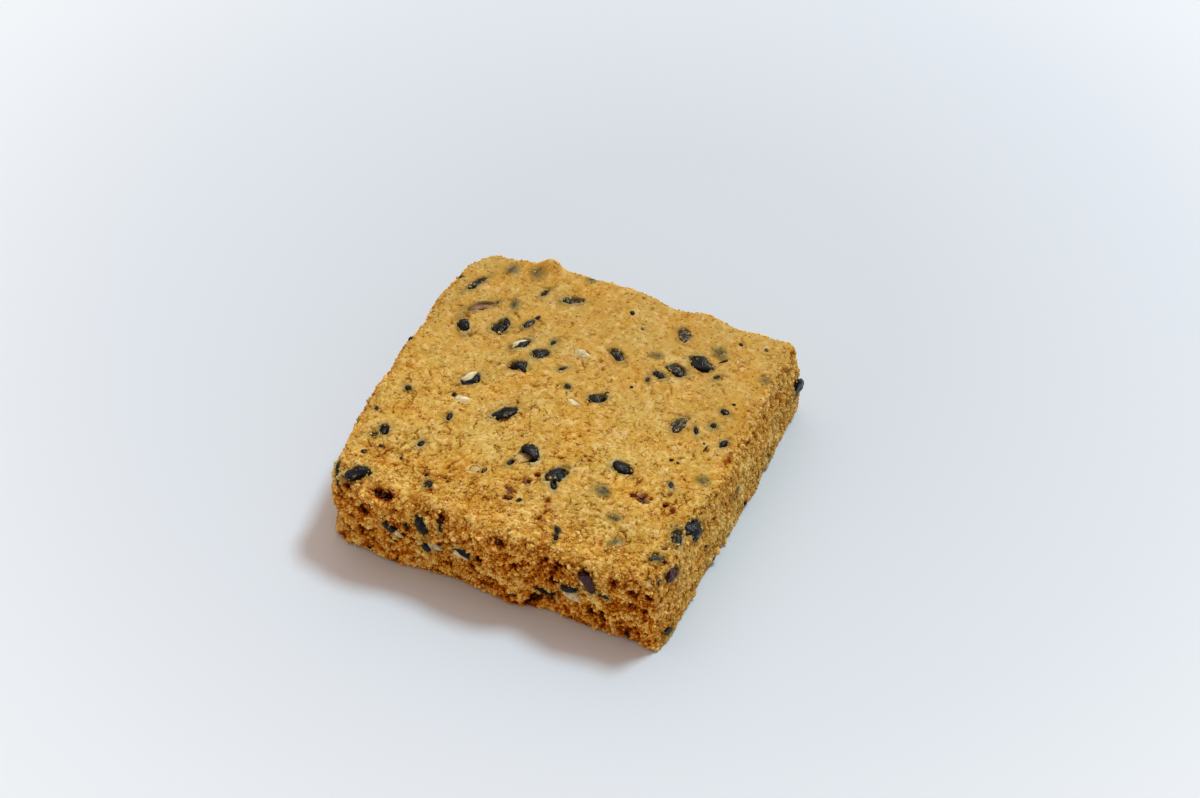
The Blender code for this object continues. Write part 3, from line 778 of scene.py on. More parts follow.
def side_uv(form):
    """The four walls one above the other, the underside beside them."""
    nx, ny = CELLS_X, CELLS_Y
    k = 1 / 68.0
    wide, tall = 39.6, 12.4
    n_ring = form.n_ring
    row = np.repeat(np.arange(form.n_rows), n_ring)
    place = np.tile(np.arange(n_ring), form.n_rows)
    up = np.stack([row, row, row + 1, row + 1], 1) / form.n_rows
    along = np.stack([place, place + 1, place + 1, place], 1).astype(float)
    uv = np.zeros((len(place), 4, 2))
    starts = (0, nx, nx + ny, 2 * nx + ny, 2 * nx + 2 * ny)
    for s in range(4):
        mine = (place >= starts[s]) & (place < starts[s + 1])
        share = (along[mine] - starts[s]) / (starts[s + 1] - starts[s])
        uv[mine, :, 0] = (1 + share * wide) * k
        uv[mine, :, 1] = (1 + s * (tall + 0.9) + up[mine] * tall) * k
    corners = np.concatenate([np.array(f) for f in form.under])
    p = form.p[corners]
    under = np.stack([(54.3 + p[:, 0] * 0.63) * k, (14 + p[:, 1] * 0.63) * k], 1)
    return np.concatenate([uv.reshape(-1, 2), under, disc_uv(n_ring, 54.3 * k, 40 * k, 8 * k)])


def make_body(form, p, values, material):
    """The crumb in two closed pieces that meet along the rim: the top, and the sides with the underside."""
    normals = form.normals(p)
    skirt = p[form.rim] * (0.985, 0.985, 1.0) - (0.0, 0.0, SKIRT)
    inner = np.concatenate([skirt, [(0.0, 0.0, HEIGHT / 2)]])
    k = np.arange(form.n_ring)
    after = (k + 1) % form.n_ring
    rim = form.rim

    top_ids = np.arange(form.n_top)
    top = [list(f) for f in form.top.tolist()]
    top += np.stack([rim[after], rim[k], form.n_top + k, form.n_top + after], 1).tolist()
    top += np.stack([form.n_top + after, form.n_top + k, np.full(len(k), form.n_top + len(k))], 1).tolist()
    side_ids = np.concatenate([np.arange(form.n_top, len(p)), rim])
    where = np.full(len(p), -1)
    where[side_ids] = np.arange(len(side_ids))
    sides = [list(f) for f in where[form.walls].tolist()]
    sides += [[int(where[i]) for i in f] for f in form.under]
    last = len(side_ids)
    sides += np.stack([where[rim[k]], where[rim[after]], last + after, last + k], 1).tolist()
    sides += np.stack([last + k, last + after, np.full(len(k), last + len(k))], 1).tolist()
    made = []
    for name, ids, faces, uv in (("cookie_top", top_ids, top, top_uv(form)), ("cookie_sides", side_ids, sides, side_uv(form))):
        points = np.concatenate([p[ids], inner])
        more = {key: np.append(value[ids], np.zeros(len(inner))) for key, value in values.items()}
        normal = np.concatenate([normals[ids], np.tile([(0.0, 0.0, 1.0)], (len(inner), 1))])
        made.append(make_mesh(name, points, faces, uv, more, material, normal))
    return made


def ball(level):
    """A unit icosahedron, or one cut once or twice finer: points and triangles."""
    g = (1 + 5 ** 0.5) / 2
    pts = [(-1, g, 0), (1, g, 0), (-1, -g, 0), (1, -g, 0), (0, -1, g), (0, 1, g), (0, -1, -g), (0, 1, -g), (g, 0, -1), (g, 0, 1), (-g, 0, -1), (-g, 0, 1)]
    tris = [(0, 11, 5), (0, 5, 1), (0, 1, 7), (0, 7, 10), (0, 10, 11), (1, 5, 9), (5, 11, 4), (11, 10, 2), (10, 7, 6), (7, 1, 8),
            (3, 9, 4), (3, 4, 2), (3, 2, 6), (3, 6, 8), (3, 8, 9), (4, 9, 5), (2, 4, 11), (6, 2, 10), (8, 6, 7), (9, 8, 1)]
    pts = [np.array(q, float) / np.linalg.norm(q) for q in pts]
    for _ in range(level):
        middle, finer = {}, []

        def mid(a, b):
            key = (min(a, b), max(a, b))
            if key not in middle:
                m = pts[a] + pts[b]
                pts.append(m / np.linalg.norm(m))
                middle[key] = len(pts) - 1
            return middle[key]

        for a, b, c in tris:
            ab, bc, ca = mid(a, b), mid(b, c), mid(c, a)
            finer += [(a, ab, ca), (b, bc, ab), (c, ca, bc), (ab, bc, ca)]
        tris = finer
    return np.array(pts), np.array(tris)


def turns(rng, n):
    """n random rotations as matrices."""
    q = unit(rng.normal(size=(n, 4)))
    w, x, y, z = q.T
    return np.stack([
        np.stack([1 - 2 * (y * y + z * z), 2 * (x * y - z * w), 2 * (x * z + y * w)], -1),
        np.stack([2 * (x * y + z * w), 1 - 2 * (x * x + z * z), 2 * (y * z - x * w)], -1),
        np.stack([2 * (x * z - y * w), 2 * (y * z + x * w), 1 - 2 * (x * x + y * y)], -1),
    ], 1)


def blob_uv(base, tris, count):
    """Each blob's two halves side by side in its own cell of a square sheet. One place for each corner."""
    n = math.ceil(math.sqrt(count))
    lower = base[tris].mean(1)[:, 2] < 0
    corner = base[tris]
    u = 0.25 + 0.21 * corner[:, :, 0] + 0.5 * lower[:, None]
    v = 0.5 + 0.44 * corner[:, :, 1]
    k = np.arange(count)
    gx, gy = k % n, k // n
    uv = np.empty((count, len(tris), 3, 2))
    uv[..., 0] = (gx[:, None, None] + u[None]) / n
    uv[..., 1] = (gy[:, None, None] + v[None]) / n
    return uv.reshape(-1, 2)


def scatter(form, p, n, weight, count, rng):
    """Random places on the displaced surface: point, outward direction, corner ids and their shares."""
    q = form.quads
    area = 0.5 * np.linalg.norm(np.cross(p[q[:, 2]] - p[q[:, 0]], p[q[:, 3]] - p[q[:, 1]]), axis=1)
    w = area * weight[q].mean(1)
    total = np.cumsum(w)
    pick = np.searchsorted(total, rng.random(count) * total[-1])
    s, t = rng.random(count), rng.random(count)
    share = np.stack([(1 - s) * (1 - t), s * (1 - t), s * t, (1 - s) * t], 1)
    ids = q[pick]
    at = (p[ids] * share[:, :, None]).sum(1)
    out = unit((n[ids] * share[:, :, None]).sum(1))
    return at, out, ids, share


def grains(name, form, p, n, fields, weight, count, sizes, sink, level, seed, material, lying):
    """Loose grains lying on and in the surface, as one joined mesh."""
    rng = np.random.default_rng(seed)
    at, out, ids, share = scatter(form, p, n, weight, int(count * 1.25), rng)
    clear = np.ones(len(at), bool)
    spare = rng.random(len(at)) < 0.06
    for row in lying.rows:
        far, _, _ = footprint(at, row, 0.06)
        clear &= (far > 1.0) | spare
    for x, y, z, radius, depth in PITS:
        d2 = (at[:, 0] - x - TABLES_AT[0]) ** 2 + (at[:, 1] - y - TABLES_AT[1]) ** 2 + (at[:, 2] - z) ** 2
        clear &= d2 > (0.85 * radius) ** 2
    keep = np.nonzero(clear)[0][:count]
    at, out, ids, share = at[keep], out[keep], ids[keep], share[keep]
    here = {key: (value[ids] * share).sum(1) for key, value in fields.items()}
    return grain_mesh(name, at, out, here, sizes, sink, level, rng, material)


def grain_mesh(name, at, out, here, sizes, sink, level, rng, material):
    """Uneven grains at places with outward directions, each with the dough's values there."""
    count = len(at)
    base, tris = ball(level)
    size = sizes[0] + (sizes[1] - sizes[0]) * rng.random(count) ** 2.2
    stretch = 1 + 0.28 * rng.uniform(-1, 1, (count, 3))
    shape = np.einsum("gij,gvj->gvi", turns(rng, count), base[None] * stretch[:, None])
    bumpy = 1 + (0.20 if level == 0 else 0.24) * rng.uniform(-1, 1, (count, len(base), 1))
    if level:
        coarse = rng.uniform(-1, 1, (count, 6, 3))
        pull = np.maximum(0, np.einsum("vk,gmk->gvm", base, unit(coarse)))
        bumpy = bumpy * (1 + 0.22 * (pull ** 3).sum(2)[..., None] - 0.22) * 0.98
        bumpy = 1 + (bumpy - 1) * 0.9
    shape = shape * bumpy * (size / 2)[:, None, None]
    middle = at + out * (size * rng.uniform(sink[0], sink[1], count))[:, None]
    points = middle[:, None] + shape
    points[:, :, 2] += np.maximum(0.02 - points[:, :, 2].min(1), 0)[:, None]
    rise = np.einsum("gvi,gi->gv", points - at[:, None], out)
    scale = 0.11 + 0.13 * here["coarse"]
    low = here["lift"][:, None]
    # painted shade: each grain's colour follows its height, darker low down where it meets the dough and lighter on top
    lift = np.where(low < 0, 0.85, 0.5) * low + 0.55 * rise / scale[:, None]
    tint = np.clip(rng.normal(0.52, 0.26, count), 0, 1)
    values = {
        "lift": lift.ravel(),
        "tint": np.repeat(tint, len(base)),
        "stain": np.repeat(here["stain"] * 0.8, len(base)),
        "dark": np.repeat(here["dark"] * 0.5, len(base)),
        "shade_warm": np.repeat(here["shade_warm"], len(base)),
        "calm": np.repeat(here["calm"], len(base)),
    }
    faces = (tris[None] + (np.arange(count) * len(base))[:, None, None]).reshape(-1, 3)
    return make_mesh(name, points.reshape(-1, 3), faces, blob_uv(base, tris, count), values, material, smooth=level > 0)


def stuck_grains(stuck, form, fields, material):
    """Small grains of dough that stick to the seeds, most of them near the edges."""
    rng = np.random.default_rng(59)
    at = np.concatenate([q[0] for q in stuck])
    out = np.concatenate([q[1] for q in stuck])
    own = np.concatenate([np.full(len(q[0]), k) for k, q in enumerate(stuck)])
    here = {key: np.zeros(len(at)) for key in fields}
    for k, (_, _, centre) in enumerate(stuck):
        near = int(np.argmin(((form.p - centre) ** 2).sum(1)))
        for key in ("shade_warm", "coarse"):
            here[key][own == k] = fields[key][near]
    here["stain"][:] = 0.45
    here["lift"][:] = 0.3
    return grain_mesh("grains_on_seeds", at, out, here, (0.14, 0.34), (-0.15, 0.2), 0, rng, material)


def seed_form(base, length, width, thick, rng, blunt=1.0, rough=1.0):
    """A flattened teardrop with its tip along +X, wrinkled and uneven."""
    x, y, z = base.T
    taper = 1 - 0.36 * blunt * x - 0.12 * x * x
    px = x * length / 2
    py = y * width / 2 * taper
    pz = z * thick / 2 * (1 - 0.20 * x)
    p = np.stack([px, py, pz], 1)
    n = unit(p / np.array([length, width, thick]) ** 2)
    q = p + rng.uniform(0, 50, 3)
    bump = 0.10 * rough * noise(q, 0.80, 91) + 0.065 * rough * noise(q, 0.42, 92) + 0.030 * noise(q, 0.20, 93)
    ridge = 0.05 * np.exp(-(py / (0.14 * width)) ** 2) * (z > 0)
    p = p + n * (bump + ridge)[:, None] * min(1.0, width / 1.2)
    p[:, 1] += 0.10 * rng.uniform(-1, 1) * width * (px / (length / 2)) ** 2
    # bites out of the edge and a torn tip
    for _ in range(6):
        a = rng.uniform(0, 2 * math.pi)
        share = np.maximum(0, x * math.cos(a) + y * math.sin(a)) ** 14
        p -= p * (share * rough * rng.uniform(0.04, 0.19))[:, None]
    a = rng.uniform(0, 2 * math.pi)
    share = np.maximum(0, x * math.cos(a) + y * math.sin(a)) ** 40
    p[:, :2] += p[:, :2] * (share * rough * rng.uniform(0.05, 0.36))[:, None]
    return p


def placed(local, row, rise, tilt, roll):
    """Local points turned to lie along a seed's directions, a little tilted."""
    kind, centre, normal, along, across = row[:5]
    ct, st, cr, sr = math.cos(tilt), math.sin(tilt), math.cos(roll), math.sin(roll)
    x, y, z = local.T
    y, z = y * cr - z * sr, y * sr + z * cr
    x, z = x * ct - z * st, x * st + z * ct
    return centre + normal * rise + x[:, None] * along + y[:, None] * across + z[:, None] * normal


def join(parts):
    """Joined meshes of parts: (points, triangles, {value per point})."""
    points, faces, values, start = [], [], {}, 0
    for p, t, v in parts:
        points.append(p)
        faces.append(t + start)
        for key, value in v.items():
            values.setdefault(key, []).append(np.broadcast_to(value, len(p)))
        start += len(p)
    return np.concatenate(points), np.concatenate(faces), {k: np.concatenate(v) for k, v in values.items()}


def shell_form(length, width, thick, start, stop, rng):
    """Half a broken shell: an arc of the seed's skin from one angle round it to another, with a real thickness."""
    nu, nv = 22, 12
    a = np.linspace(-0.93, 0.93, nu)
    b = np.linspace(math.radians(start), math.radians(stop), nv)
    aa, bb = np.meshgrid(a, b, indexing="ij")
    rag = 0.12 * rng.uniform(-1, 1, nu)
    bb = bb + rag[:, None] * (np.linspace(0, 1, nv)[None] - 0.5) * 2
    r = np.sqrt(np.maximum(1 - aa ** 2, 0.02))
    layers = []
    for shrink in (1.0, 0.80):
        x = aa * length / 2 * (0.5 + 0.5 * shrink)
        y = np.cos(bb) * r * width / 2 * shrink * (1 - 0.3 * aa)
        z = np.sin(bb) * r * thick / 2 * shrink
        q = np.stack([x, y, z], -1).reshape(-1, 3)
        q += 0.035 * np.stack([noise(q + 9, 0.5, 95), noise(q + 19, 0.5, 96), noise(q + 29, 0.5, 97)], 1)
        layers.append(q)
    points = np.concatenate(layers)
    m = nu * nv
    idx = np.arange(m).reshape(nu, nv)
    tris = []
    for i in range(nu - 1):
        for j in range(nv - 1):
            p0, p1, p2, p3 = idx[i, j], idx[i + 1, j], idx[i + 1, j + 1], idx[i, j + 1]
            tris += [(p0, p2, p1), (p0, p3, p2), (p0 + m, p1 + m, p2 + m), (p0 + m, p2 + m, p3 + m)]
    border = [idx[i, 0] for i in range(nu)] + [idx[nu - 1, j] for j in range(1, nv)] + \
             [idx[i, nv - 1] for i in range(nu - 2, -1, -1)] + [idx[0, j] for j in range(nv - 2, 0, -1)]
    for k in range(len(border)):
        p0, p1 = border[k], border[(k + 1) % len(border)]
        tris += [(p0, p1, p1 + m), (p0, p1 + m, p0 + m)]
    tris = np.array(tris)
    # make the faces point out of the thin shell
    a0, b0, c0 = points[tris[:, 0]], points[tris[:, 1]], points[tris[:, 2]]
    if (np.cross(a0, b0) * c0).sum() < 0:
        tris = tris[:, ::-1]
    return points, tris


def atlas(parts):
    """A sheet with one cell for each part, seen from above in the left half of it and from below in the right."""
    n = math.ceil(math.sqrt(len(parts)))
    out = []
    for k, (local, tris) in enumerate(parts):
        lo, hi = local.min(0), local.max(0)
        s = (local - lo) / np.maximum(hi - lo, 1e-6)
        corner = local[tris]
        side = np.cross(corner[:, 1] - corner[:, 0], corner[:, 2] - corner[:, 0])[:, 2] < 0
        c = s[tris]
        u = (k % n + 0.03 + 0.44 * c[:, :, 0] + 0.5 * side[:, None]) / n
        v = (k // n + 0.05 + 0.9 * c[:, :, 1]) / n
        out.append(np.stack([u, v], -1).reshape(-1, 2))
    return np.concatenate(out)


def make_seeds(lying, materials):
    rng = np.random.default_rng(41)
    dark, pale, shells, specks, stuck = [], [], [], [], []
    fine_ball, plain_ball = ball(3), ball(2)
    speck_ball, speck_tris = ball(1)
    for row in lying.rows:
        kind, centre, normal, along, across, length, width, out, dust, face = row
        rng_tilt, rng_roll = rng.uniform(-0.12, 0.12), rng.uniform(-0.22, 0.22)
        tint = 1.0 if kind == "R" else 0.84 * rng.random()
        if kind == "K" and face == "T":
            tint *= 0.35
        if face == "U":
            out = min(out, 0.42)
        seed_ball, seed_tris = fine_ball if length > 1.5 else plain_ball

        def lay(local, rise, tilt, roll):
            p = placed(local, row, rise, tilt, roll)
            if face == "U":
                p[:, 2] += max(0.02 - p[:, 2].min(), 0)
            return p

        def dot(p, count):
            """Chance places on the outer side of a seed, towards its edge."""
            high = (p - centre) @ normal
            d = p - centre
            far = np.hypot((d @ along) / (length / 2), (d @ across) / (width / 2))
            weight = np.where(high > -0.12, 0.02 + fade((far - 0.62) / 0.3), 0.0)
            if face != "U" and weight.sum() > 0 and count > 0:
                picked = rng.choice(len(p), count, p=weight / weight.sum())
                stuck.append((p[picked], np.tile(normal, (count, 1)), centre))

        area = length * width
        if kind in ("S", "F", "KH", "R"):
            thick = float(np.clip(0.50 * width, 0.40, 0.85))
            local = seed_form(seed_ball, length, width, thick, rng, blunt=1.0 if length > 1.5 else 0.4, rough=2.0 if length < 2.6 else 1.6)
            sunk = 0.26 if kind == "F" else 0.24 if kind == "KH" else 0.17
            p = lay(local, (out - 0.62) * thick - sunk, rng_tilt, rng_roll)
            dot(p, 1 if kind == "R" else int(area * (1.2 + 4.0 * dust)))
            dark.append((p, seed_tris, {"dust": dust, "tint": tint}, local))
        if kind in ("K", "KH"):
            thick = float(np.clip(0.45 * width, 0.40, 0.75))
            long, wide = (1.0, 1.0) if kind == "K" else (0.84, 0.60)
            local = seed_form(seed_ball, length * long, width * wide, thick, rng, rough=1.3)
            if kind == "KH":
                local = local + (0.06 * length * rng.uniform(-1, 1), (0.25 if face == "T" else -0.25) * width, 0.0)
            p = lay(local, (out - 0.60) * thick - (0.10 if kind == "K" else 0.02), rng_tilt, rng_roll)
            dot(p, int(area * (2.0 + 8.0 * dust)) if kind == "K" else 0)
            pale.append((p, seed_tris, {"dust": dust, "tint": tint}, local))
        if kind == "H":
            thick = float(np.clip(0.62 * width, 0.55, 1.1))
            local, tris = shell_form(length * 1.04, width * 1.10, thick, -55, 110, rng)
            p = lay(local, (out - 0.55) * thick + 0.03, 0.0, 0.15)
            dot(p, int(area * 4))
            shells.append((p, tris, {"dust": dust, "tint": tint}, local))
        if kind == "P":
            local = speck_ball * np.array([length / 2, width / 2, max(0.10, width * 0.28)])
            local = local * (1 + 0.24 * rng.uniform(-1, 1, (len(speck_ball), 1)))
            p = placed(local, row, (out - 0.45) * width * 0.5, rng_tilt * 3, rng_roll * 2)
            if face == "U":
                p[:, 2] += max(0.01 - p[:, 2].min(), 0)
            specks.append((p, speck_tris, {"dust": dust, "tint": tint}, local))
    made = []
    for name, parts, material in (
        ("seeds_dark", dark, materials["seed"]),
        ("seeds_pale", pale, materials["kernel"]),
        ("seed_shells", shells, materials["seed"]),
        ("seed_specks", specks, materials["seed"]),
    ):
        points, faces, values = join([q[:3] for q in parts])
        uv = atlas([(q[3], q[1]) for q in parts])
        made.append(make_mesh(name, points, faces, uv, values, material))
    return made, stuck


# ------------------------------------------------------------------ materials
class Tree:
    """A short way to write a material's nodes."""

    def __init__(self, name):
        self.mat = bpy.data.materials.new(name)
        self.mat.use_nodes = True
        self.t = self.mat.node_tree
        self.shader = self.t.nodes["Principled BSDF"]
        self.coords = self.t.nodes.new("ShaderNodeTexCoord").outputs["Object"]

    def put(self, socket, value):
        if isinstance(value, bpy.types.NodeSocket):
            self.t.links.new(value, socket)
        elif isinstance(value, (tuple, list)) and len(value) == 3 and socket.type == "RGBA":
            socket.default_value = (*value, 1.0)
        else:
            socket.default_value = value

    def value(self, name):
        node = self.t.nodes.new("ShaderNodeAttribute")
        node.attribute_name = name
        return node.outputs["Fac"]

    def noise(self, cell, detail=2.0, rough=0.5, shift=0.0):
        node = self.t.nodes.new("ShaderNodeTexNoise")
        mapping = self.t.nodes.new("ShaderNodeMapping")
        mapping.inputs["Location"].default_value = (shift, shift * 0.7, -shift)
        self.t.links.new(self.coords, mapping.inputs["Vector"])
        self.t.links.new(mapping.outputs["Vector"], node.inputs["Vector"])
        node.inputs["Scale"].default_value = 1.0 / (cell * MM)
        node.inputs["Detail"].default_value = detail
        node.inputs["Roughness"].default_value = rough
        return node.outputs["Fac"]

    def bent(self, cell, amount):
        """The coordinates moved about by noise, so that what is drawn from them is uneven."""
        node = self.t.nodes.new("ShaderNodeTexNoise")
        self.t.links.new(self.coords, node.inputs["Vector"])
        node.inputs["Scale"].default_value = 1.0 / (cell * MM)
        node.inputs["Detail"].default_value = 2.0
        shift = self.t.nodes.new("ShaderNodeVectorMath")
        shift.operation = "MULTIPLY_ADD"
        self.t.links.new(node.outputs["Color"], shift.inputs[0])
        shift.inputs[1].default_value = (amount * MM,) * 3
        self.t.links.new(self.coords, shift.inputs[2])
        return shift.outputs[0]

    def cells(self, cell, feature="F1", at=None):
        node = self.t.nodes.new("ShaderNodeTexVoronoi")
        node.feature = feature
        self.t.links.new(self.coords if at is None else at, node.inputs["Vector"])
        node.inputs["Scale"].default_value = 1.0 / (cell * MM)
        return node

    def maths(self, kind, a, b=0.0, c=0.0):
        node = self.t.nodes.new("ShaderNodeMath")
        node.operation = kind
        for socket, value in zip(node.inputs, (a, b, c)):
            self.put(socket, value)
        return node.outputs[0]

    def span(self, value, low, high, to_low=0.0, to_high=1.0):
        node = self.t.nodes.new("ShaderNodeMapRange")
        node.clamp = True
        for key, v in (("Value", value), ("From Min", low), ("From Max", high), ("To Min", to_low), ("To Max", to_high)):
            self.put(node.inputs[key], v)
        return node.outputs[0]

    def ramp(self, value, stops):
        node = self.t.nodes.new("ShaderNodeValToRGB")
        ramp = node.color_ramp
        while len(ramp.elements) < len(stops):
            ramp.elements.new(0.5)
        for element, (place, colour) in zip(ramp.elements, stops):
            element.position = place
            element.color = (*colour, 1.0)
        self.put(node.inputs["Fac"], value)
        return node.outputs["Color"]

    def mix(self, amount, a, b, kind="MIX"):
        node = self.t.nodes.new("ShaderNodeMix")
        node.data_type = "RGBA"
        node.blend_type = kind
        node.clamp_factor = True
        self.put(node.inputs[0], amount)
        self.put(node.inputs[6], a)
        self.put(node.inputs[7], b)
        return node.outputs[2]

    def bump(self, height, depth, strength=1.0, after=None):
        node = self.t.nodes.new("ShaderNodeBump")
        node.inputs["Strength"].default_value = strength
        node.inputs["Distance"].default_value = depth * MM
        self.put(node.inputs["Height"], height)
        if after is not None:
            self.put(node.inputs["Normal"], after)
        return node.outputs["Normal"]


def crumb_material():
    m = Tree("baked_crumb")
    lift, tint, stain, dark, shade_warm, calm = (m.value(k) for k in ("lift", "tint", "stain", "dark", "shade_warm", "calm"))
    fine = m.noise(0.28, 3.0, 0.6)
    broad = m.noise(5.0, 2.0, 0.5, 0.3)
    spots = m.noise(1.6, 2.0, 0.55, 0.7)
    sand = m.noise(0.11, 2.0, 0.7, 1.9)
    # painted shade: the colour follows the crumb's height, dark red-brown in its hollows, pits, cracks and seats and
    # light on what stands out; the contrast is raised on the shaded sides and lowered on the smooth top
    level = m.maths("ADD", lift, m.maths("MULTIPLY", m.maths("SUBTRACT", fine, 0.5), 2.0))
    level = m.maths("ADD", level, m.maths("MULTIPLY", m.maths("SUBTRACT", sand, 0.5), 3.2))
    level = m.maths("MULTIPLY", level, m.span(shade_warm, 0.0, 1.0, 1.0, 1.80))
    level = m.maths("MULTIPLY", level, m.span(calm, 0.25, 1.0, 1.0, 0.55))
    level = m.maths("ADD", level, m.maths("MULTIPLY", shade_warm, 0.30))
    colour = m.ramp(m.span(level, -3.0, 1.2), (
        (0.00, (0.035, 0.004, 0.002)),
        (0.22, (0.150, 0.022, 0.003)),
        (0.42, (0.370, 0.150, 0.015)),
        (0.57, (0.490, 0.292, 0.051)),
        (0.70, (0.575, 0.382, 0.094)),
        (0.84, (0.665, 0.476, 0.152)),
        (1.00, (0.800, 0.640, 0.300)),
    ))
    # yellower and more orange patches
    colour = m.mix(m.span(broad, 0.38, 0.66), colour, m.mix(1.0, colour, (1.05, 0.90, 0.66), "MULTIPLY"))
    colour = m.mix(m.span(spots, 0.58, 0.78, 0.0, 0.5), colour, m.mix(1.0, colour, (1.02, 0.86, 0.58), "MULTIPLY"))
    colour = m.mix(m.span(spots, 0.28, 0.42, 0.7, 0.0), colour, m.mix(1.0, colour, (0.98, 1.03, 1.10), "MULTIPLY"))
    # the smooth back of the top a little deeper
    colour = m.mix(m.span(calm, 0.3, 1.0), colour, m.mix(1.0, colour, (0.905, 0.890, 0.960), "MULTIPLY"))
    # neighbouring grains yellower or redder
    hue = m.noise(0.55, 2.0, 0.6, 1.3)
    colour = m.mix(m.span(hue, 0.50, 0.64, 0.0, 1.0), colour, m.mix(1.0, colour, (1.00, 1.05, 0.82), "MULTIPLY"))
    colour = m.mix(m.span(hue, 0.36, 0.50, 1.0, 0.0), colour, m.mix(1.0, colour, (1.01, 0.955, 0.98), "MULTIPLY"))
    # each grain a little lighter or darker
    colour = m.mix(m.span(tint, 0.0, 0.5, 0.50, 0.0), colour, m.mix(1.0, colour, (0.80, 0.70, 0.50), "MULTIPLY"))
    colour = m.mix(m.span(tint, 0.6, 1.0, 0.0, 0.42), colour, (0.82, 0.64, 0.32))
    # painted shade and glow: the sides out of the key light a deeper orange, their hollows darker and redder
    shade_tone = m.mix(m.span(level, -1.4, 0.8), (1.18, 0.63, 0.08), (1.36, 1.08, 0.37))
    colour = m.mix(shade_warm, colour, m.mix(1.0, colour, shade_tone, "MULTIPLY"))
    # painted highlight: the raised grains of the shaded sides lit pale yellow
    painted_highlight = m.maths("MULTIPLY", shade_warm, m.span(level, 0.2, 1.7, 0.0, 0.80))
    colour = m.mix(painted_highlight, colour, (1.00, 0.92, 0.36))
    # hairline cracks drawn only in colour, as lines of painted shade
    line = m.cells(1.25, "DISTANCE_TO_EDGE", m.bent(0.7, 1.1))
    thin = m.span(line.outputs["Distance"], 0.014, 0.055, 1.0, 0.0)
    here = m.span(m.noise(1.3, 2.0, 0.5, 2.7), 0.51, 0.58)
    colour = m.mix(m.maths("MULTIPLY", m.maths("MULTIPLY", thin, here), m.span(calm, 0.3, 1.0, 0.95, 0.55)), colour, m.mix(1.0, colour, (0.40, 0.20, 0.07), "MULTIPLY"))
    # painted shade in the chinks between the grains of the sides
    chink = m.cells(0.46, "DISTANCE_TO_EDGE", m.bent(0.25, 0.25))
    narrow = m.span(chink.outputs["Distance"], 0.02, 0.11, 1.0, 0.0)
    open_ = m.span(m.noise(0.8, 2.0, 0.6, 3.1), 0.44, 0.58)
    colour = m.mix(m.maths("MULTIPLY", m.maths("MULTIPLY", narrow, open_), m.maths("MULTIPLY", shade_warm, 0.62)), colour, m.mix(1.0, colour, (0.50, 0.26, 0.10), "MULTIPLY"))
    # painted shade: small deep red brown hollows in the sides, drawn only in colour
    deep = m.cells(0.85, "F1", m.bent(0.3, 0.35))
    spot = m.span(deep.outputs["Distance"], 0.17, 0.30, 1.0, 0.0)
    chosen = m.maths("GREATER_THAN", deep.outputs["Color"], 0.86)
    colour = m.mix(m.maths("MULTIPLY", m.maths("MULTIPLY", spot, chosen), m.maths("MULTIPLY", shade_warm, 0.78)), colour, (0.100, 0.014, 0.003))
    # pinholes drawn only in colour, as spots of painted shade
    hole = m.cells(0.40)
    round = m.span(hole.outputs["Distance"], 0.13, 0.24, 1.0, 0.0)
    some = m.maths("GREATER_THAN", hole.outputs["Color"], 0.76)
    colour = m.mix(m.maths("MULTIPLY", m.maths("MULTIPLY", round, some), 0.75), colour, m.mix(1.0, colour, (0.60, 0.42, 0.22), "MULTIPLY"))
    # grey green stain round the dark seeds, and the seeds that show through
    colour = m.mix(m.span(stain, 0.05, 1.0, 0.0, 0.86), colour, m.mix(1.0, colour, (0.36, 0.44, 0.55), "MULTIPLY"))
    colour = m.mix(dark, colour, (0.035, 0.040, 0.042))
    # fine bran flecks
    fleck = m.cells(0.55)
    near = m.span(fleck.outputs["Distance"], 0.10, 0.17, 1.0, 0.0)
    few = m.maths("GREATER_THAN", fleck.outputs["Color"], 0.80)
    colour = m.mix(m.maths("MULTIPLY", m.maths("MULTIPLY", near, few), 0.55), colour, (0.16, 0.060, 0.012))
    m.put(m.shader.inputs["Base Color"], colour)
    m.put(m.shader.inputs["Roughness"], m.span(fine, 0.3, 0.7, 0.72, 0.92))
    m.shader.inputs["Specular IOR Level"].default_value = 0.06
    rough = m.bump(m.noise(0.14, 3.0, 0.65, 0.2), 0.060, 1.0)
    m.put(m.shader.inputs["Normal"], rough)
    return m.mat


def seed_material():
    m = Tree("black_sesame")
    dust, tint = m.value("dust"), m.value("tint")
    fine = m.noise(0.22, 3.0, 0.6)
    broad = m.noise(0.9, 2.0, 0.5, 0.4)
    colour = m.ramp(m.span(broad, 0.3, 0.7), (
        (0.0, (0.0012, 0.0018, 0.0030)),
        (0.6, (0.0030, 0.0046, 0.0072)),
        (1.0, (0.0110, 0.0150, 0.0200)),
    ))
    colour = m.mix(m.span(tint, 0.86, 0.98, 0.0, 0.85), colour, (0.060, 0.014, 0.018))
    # a film of dough in the hollows
    film = m.span(m.maths("ADD", m.noise(0.42, 3.0, 0.6, 0.9), m.span(dust, 0.0, 1.0, -0.10, 0.18)), 0.54, 0.63)
    colour = m.mix(m.maths("MULTIPLY", film, 0.72), colour, (0.260, 0.205, 0.105))
    colour = m.mix(m.span(dust, 0.2, 0.8, 0.0, 0.45), colour, (0.075, 0.068, 0.048))
    colour = m.mix(m.maths("MULTIPLY", m.span(dust, 0.55, 0.75), m.span(tint, 0.86, 0.98, 0.0, 0.85)), colour, (0.270, 0.130, 0.075))
    m.put(m.shader.inputs["Base Color"], colour)
    m.put(m.shader.inputs["Roughness"], m.span(fine, 0.35, 0.65, 0.10, 0.36))
    m.shader.inputs["Specular IOR Level"].default_value = 0.20
    m.put(m.shader.inputs["Normal"], m.bump(m.noise(0.16, 3.0, 0.6, 0.1), 0.06, 1.0))
    return m.mat


